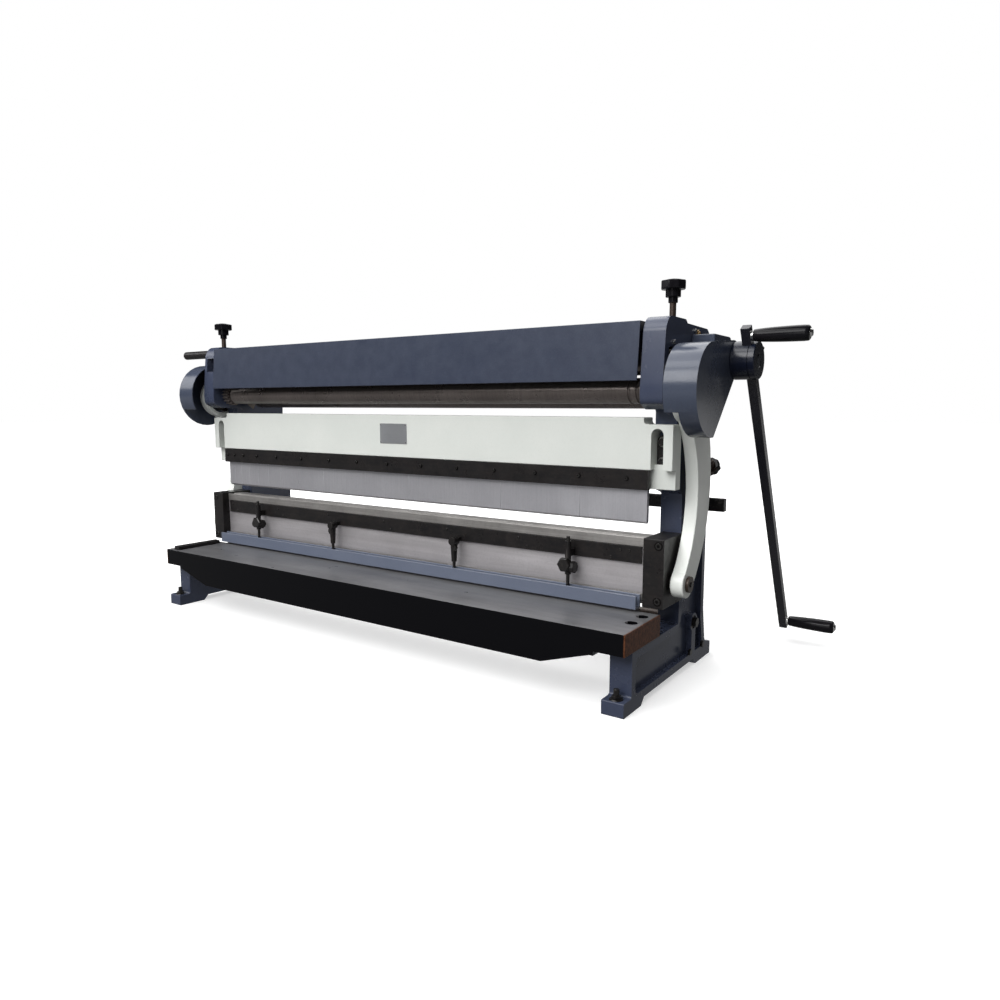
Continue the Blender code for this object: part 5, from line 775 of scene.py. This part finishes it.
way = bpy.data.objects.new("way_helper", meshOf(bm, "way_form"))
scene.collection.objects.link(way)
cutWay = helper.modifiers.new("way", "BOOLEAN")
cutWay.object = way
cutWay.solver = "EXACT"
cutWay.use_self = True
hubMesh = softEdges("crank_hub_dressed", plainMesh(helper), hub["edge"])
bpy.data.objects.remove(helper)
bpy.data.objects.remove(way)
hubPiece = finished("crank_hub_dressed", hubMesh, "crank_body", ["hubPaint"])
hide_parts("crank_hub")
paintNode("crank_hub", "hubPaint")
toward = Vector(hub["screwFacing"]).normalized()
setScrew = Vector((hub["screwAt"], *hub["axis"])) + toward * hub["screwOut"]
fastenerRow("hub_set_screw", "stem", [tuple(setScrew)], tuple(toward), "crank_body",
            "blackScrew", hub["screwSize"])
print("stage: hub dressed")

# Grips: a slim neck, a long swell and a rounded end, on the CAD grips' axes
grip = {
    "slim": 11.5, "thick": 14.8, "steps": 20, "around": 48,
    # Distances out from the neck's end or in from the tip, and radii
    "neck": [(0, 10.2), (0.7, 11.2), (2.5, 11.5)], "tip": [(3.2, 14.3), (1.4, 12.8), (0.3, 11.2), (0, 8)],
    # Where the swell starts and how long it is, in shares of the grip, and how its curve rises
    "swellFrom": 0.04, "swellLong": 0.9, "early": 0.8, "turn": 1.9, "full": 0.9,
}
for nodeName in ("upper_grip", "lower_grip"):
    low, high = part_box(nodeName)
    middle = (low + high) / 2
    long = (high.x - low.x) * 1000
    profile = list(grip["neck"])
    for step in range(1, grip["steps"]):
        share = step / grip["steps"]
        rise = math.sin(math.pi * share ** grip["early"] / grip["turn"]) ** grip["full"]
        radius = grip["slim"] + (grip["thick"] - grip["slim"]) * rise
        profile.append((long * (grip["swellFrom"] + grip["swellLong"] * share), radius))
    profile += [(long - inward, radius) for inward, radius in grip["tip"]]
    bm = bmesh.new()
    turned(bm, Vector((low.x, middle.y, middle.z)), (1, 0, 0), profile, grip["around"])
    gripMesh = meshOf(bm, nodeName + "_dressed")
    for polygon in gripMesh.polygons:
        polygon.use_smooth = len(polygon.vertices) == 4
    piece = finished(nodeName + "_dressed", gripMesh, nodeName + "_body", ["blackPlastic"])
    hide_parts(nodeName)
    paintNode(nodeName, "blackPlastic")
print("stage: grips dressed")

# Blank rating plate with its rivets
plate = {
    "low": (-44, -81.2, 467), "high": (43, -80.4, 516), "edge": 0.3,
    "rivetsAcross": (-40.5, 39.5), "rivetFace": -81.2, "rivetHeights": (470.5, 512.5),
}
bm = bmesh.new()
low, high = place(*plate["low"]), place(*plate["high"])
scaled = Matrix.Diagonal((high - low).to_4d())
bmesh.ops.create_cube(bm, size=1, matrix=Matrix.Translation((low + high) / 2) @ scaled)
plateMesh = softEdges("blank_plate", meshOf(bm, "blank_plate_form"), plate["edge"])
finished("blank_plate", plateMesh, rigid, ["plate"])
rivets = [(x, plate["rivetFace"], z) for x in plate["rivetsAcross"] for z in plate["rivetHeights"]]
fastenerRow("plate_rivets", "rivet", rivets, forward, rigid, "brightSteel")
print("stage: plate placed")

# Floor: pale under the machine, white far from it, and without effect on the machine's own light
ground = {
    "size": 24, "cells": 8, "colour": (0.7, 0.7, 0.7, 1), "rough": 0.9, "specular": 0.1,
    "glow": (1, 1, 1, 1), "glowOver": (0.8, 3.0), "glowPower": (0.5, 1.0),
}
bm = bmesh.new()
bmesh.ops.create_grid(bm, x_segments=ground["cells"], y_segments=ground["cells"], size=ground["size"])
floorMesh = bpy.data.meshes.new("floor")
bm.to_mesh(floorMesh)
bm.free()
floor = bpy.data.objects.new("floor", floorMesh)
floorPaint = bpy.data.materials.new("floorPaint")
floorPaint.use_nodes = True
floorTree = floorPaint.node_tree
floorShader = floorTree.nodes["Principled BSDF"]
floorShader.inputs["Base Color"].default_value = ground["colour"]
floorShader.inputs["Roughness"].default_value = ground["rough"]
floorShader.inputs["Specular IOR Level"].default_value = ground["specular"]
floorShader.inputs["Emission Color"].default_value = ground["glow"]
distance = addNode(floorTree, "ShaderNodeVectorMath", {"operation": "LENGTH"})
floorTree.links.new(addNode(floorTree, "ShaderNodeTexCoord").outputs["Object"], distance.inputs[0])
glow = ranged(floorTree, distance.outputs["Value"], *ground["glowOver"], *ground["glowPower"])
floorTree.links.new(glow, floorShader.inputs["Emission Strength"])
floorMesh.materials.append(floorPaint)
scene.collection.objects.link(floor)
floor.visible_diffuse = False
floor.visible_glossy = False
floor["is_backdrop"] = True

# Lights: from and to in millimetres, size in metres, power in watts
lights = {
    "sky": {"from": (-1000, -3300, 3900), "to": (0, 0, 450), "size": (5.4, 4.4), "power": 165},
    "key": {"from": (250, -3300, 2700), "to": (0, 0, 450), "size": (3.0, 2.0), "power": 87},
    "fill": {"from": (700, -3900, 650), "to": (0, 0, 450), "size": (1.9, 1.3), "power": 16},
    "left": {"from": (-4150, -1600, 2350), "to": (-700, 0, 550), "size": (2.2, 1.6), "power": 28},
    "top": {"from": (-900, -150, 3300), "to": (0, 0, 450), "size": (3.6, 1.6), "power": 50},
    "back": {"from": (-300, 2100, 3500), "to": (0, 0, 450), "size": (6.0, 3.4), "power": 135},
    "card": {"from": (2450, 2350, 190), "to": (783, 0, 480), "size": (1.6, 0.8), "power": 3.2},
}
for lightName, light in lights.items():
    lamp = bpy.data.lights.new(lightName, "AREA")
    lamp.shape = "RECTANGLE"
    lamp.size, lamp.size_y = light["size"]
    lamp.energy = light["power"]
    lampObject = bpy.data.objects.new(lightName, lamp)
    lampObject.location = place(*light["from"])
    aim = place(*light["to"]) - lampObject.location
    lampObject.rotation_euler = aim.to_track_quat("-Z", "Y").to_euler()
    scene.collection.objects.link(lampObject)

# The air is white behind the machine, dim as light, and a dark room over a pale floor as a reflection
room = {
    "colour": (1, 1, 1, 1), "dim": 0.13,
    # Heights of a ray's direction, low and high, then the brightness at each
    "floor": (-0.32, -0.14, 0.25, 0.42), "wall": (-0.07, 0.0, 1.0, 0.07),
}
air = bpy.data.worlds.new("air")
air.use_nodes = True
airTree = air.node_tree
background = airTree.nodes["Background"]
background.inputs["Color"].default_value = room["colour"]
rays = addNode(airTree, "ShaderNodeLightPath")
height = addNode(airTree, "ShaderNodeSeparateXYZ")
airTree.links.new(addNode(airTree, "ShaderNodeTexCoord").outputs["Generated"], height.inputs[0])
reflected = addNode(airTree, "ShaderNodeMath", {"operation": "MULTIPLY"})
airTree.links.new(ranged(airTree, height.outputs["Z"], *room["floor"]), reflected.inputs[0])
airTree.links.new(ranged(airTree, height.outputs["Z"], *room["wall"]), reflected.inputs[1])
amount = addNode(airTree, "ShaderNodeMix", {"data_type": "FLOAT"})
airTree.links.new(rays.outputs["Is Glossy Ray"], amount.inputs[0])
amount.inputs[2].default_value = room["dim"]
airTree.links.new(reflected.outputs[0], amount.inputs[3])
total = addNode(airTree, "ShaderNodeMath", {"operation": "MAXIMUM"})
airTree.links.new(rays.outputs["Is Camera Ray"], total.inputs[0])
airTree.links.new(amount.outputs[0], total.inputs[1])
airTree.links.new(total.outputs[0], background.inputs["Strength"])
scene.world = air
print("stage: floor and lights placed")

boxes = {"cad": [list(corner) for corner in cadBox], "visual": [list(corner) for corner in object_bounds()]}
str(boxes).replace("'", chr(34))
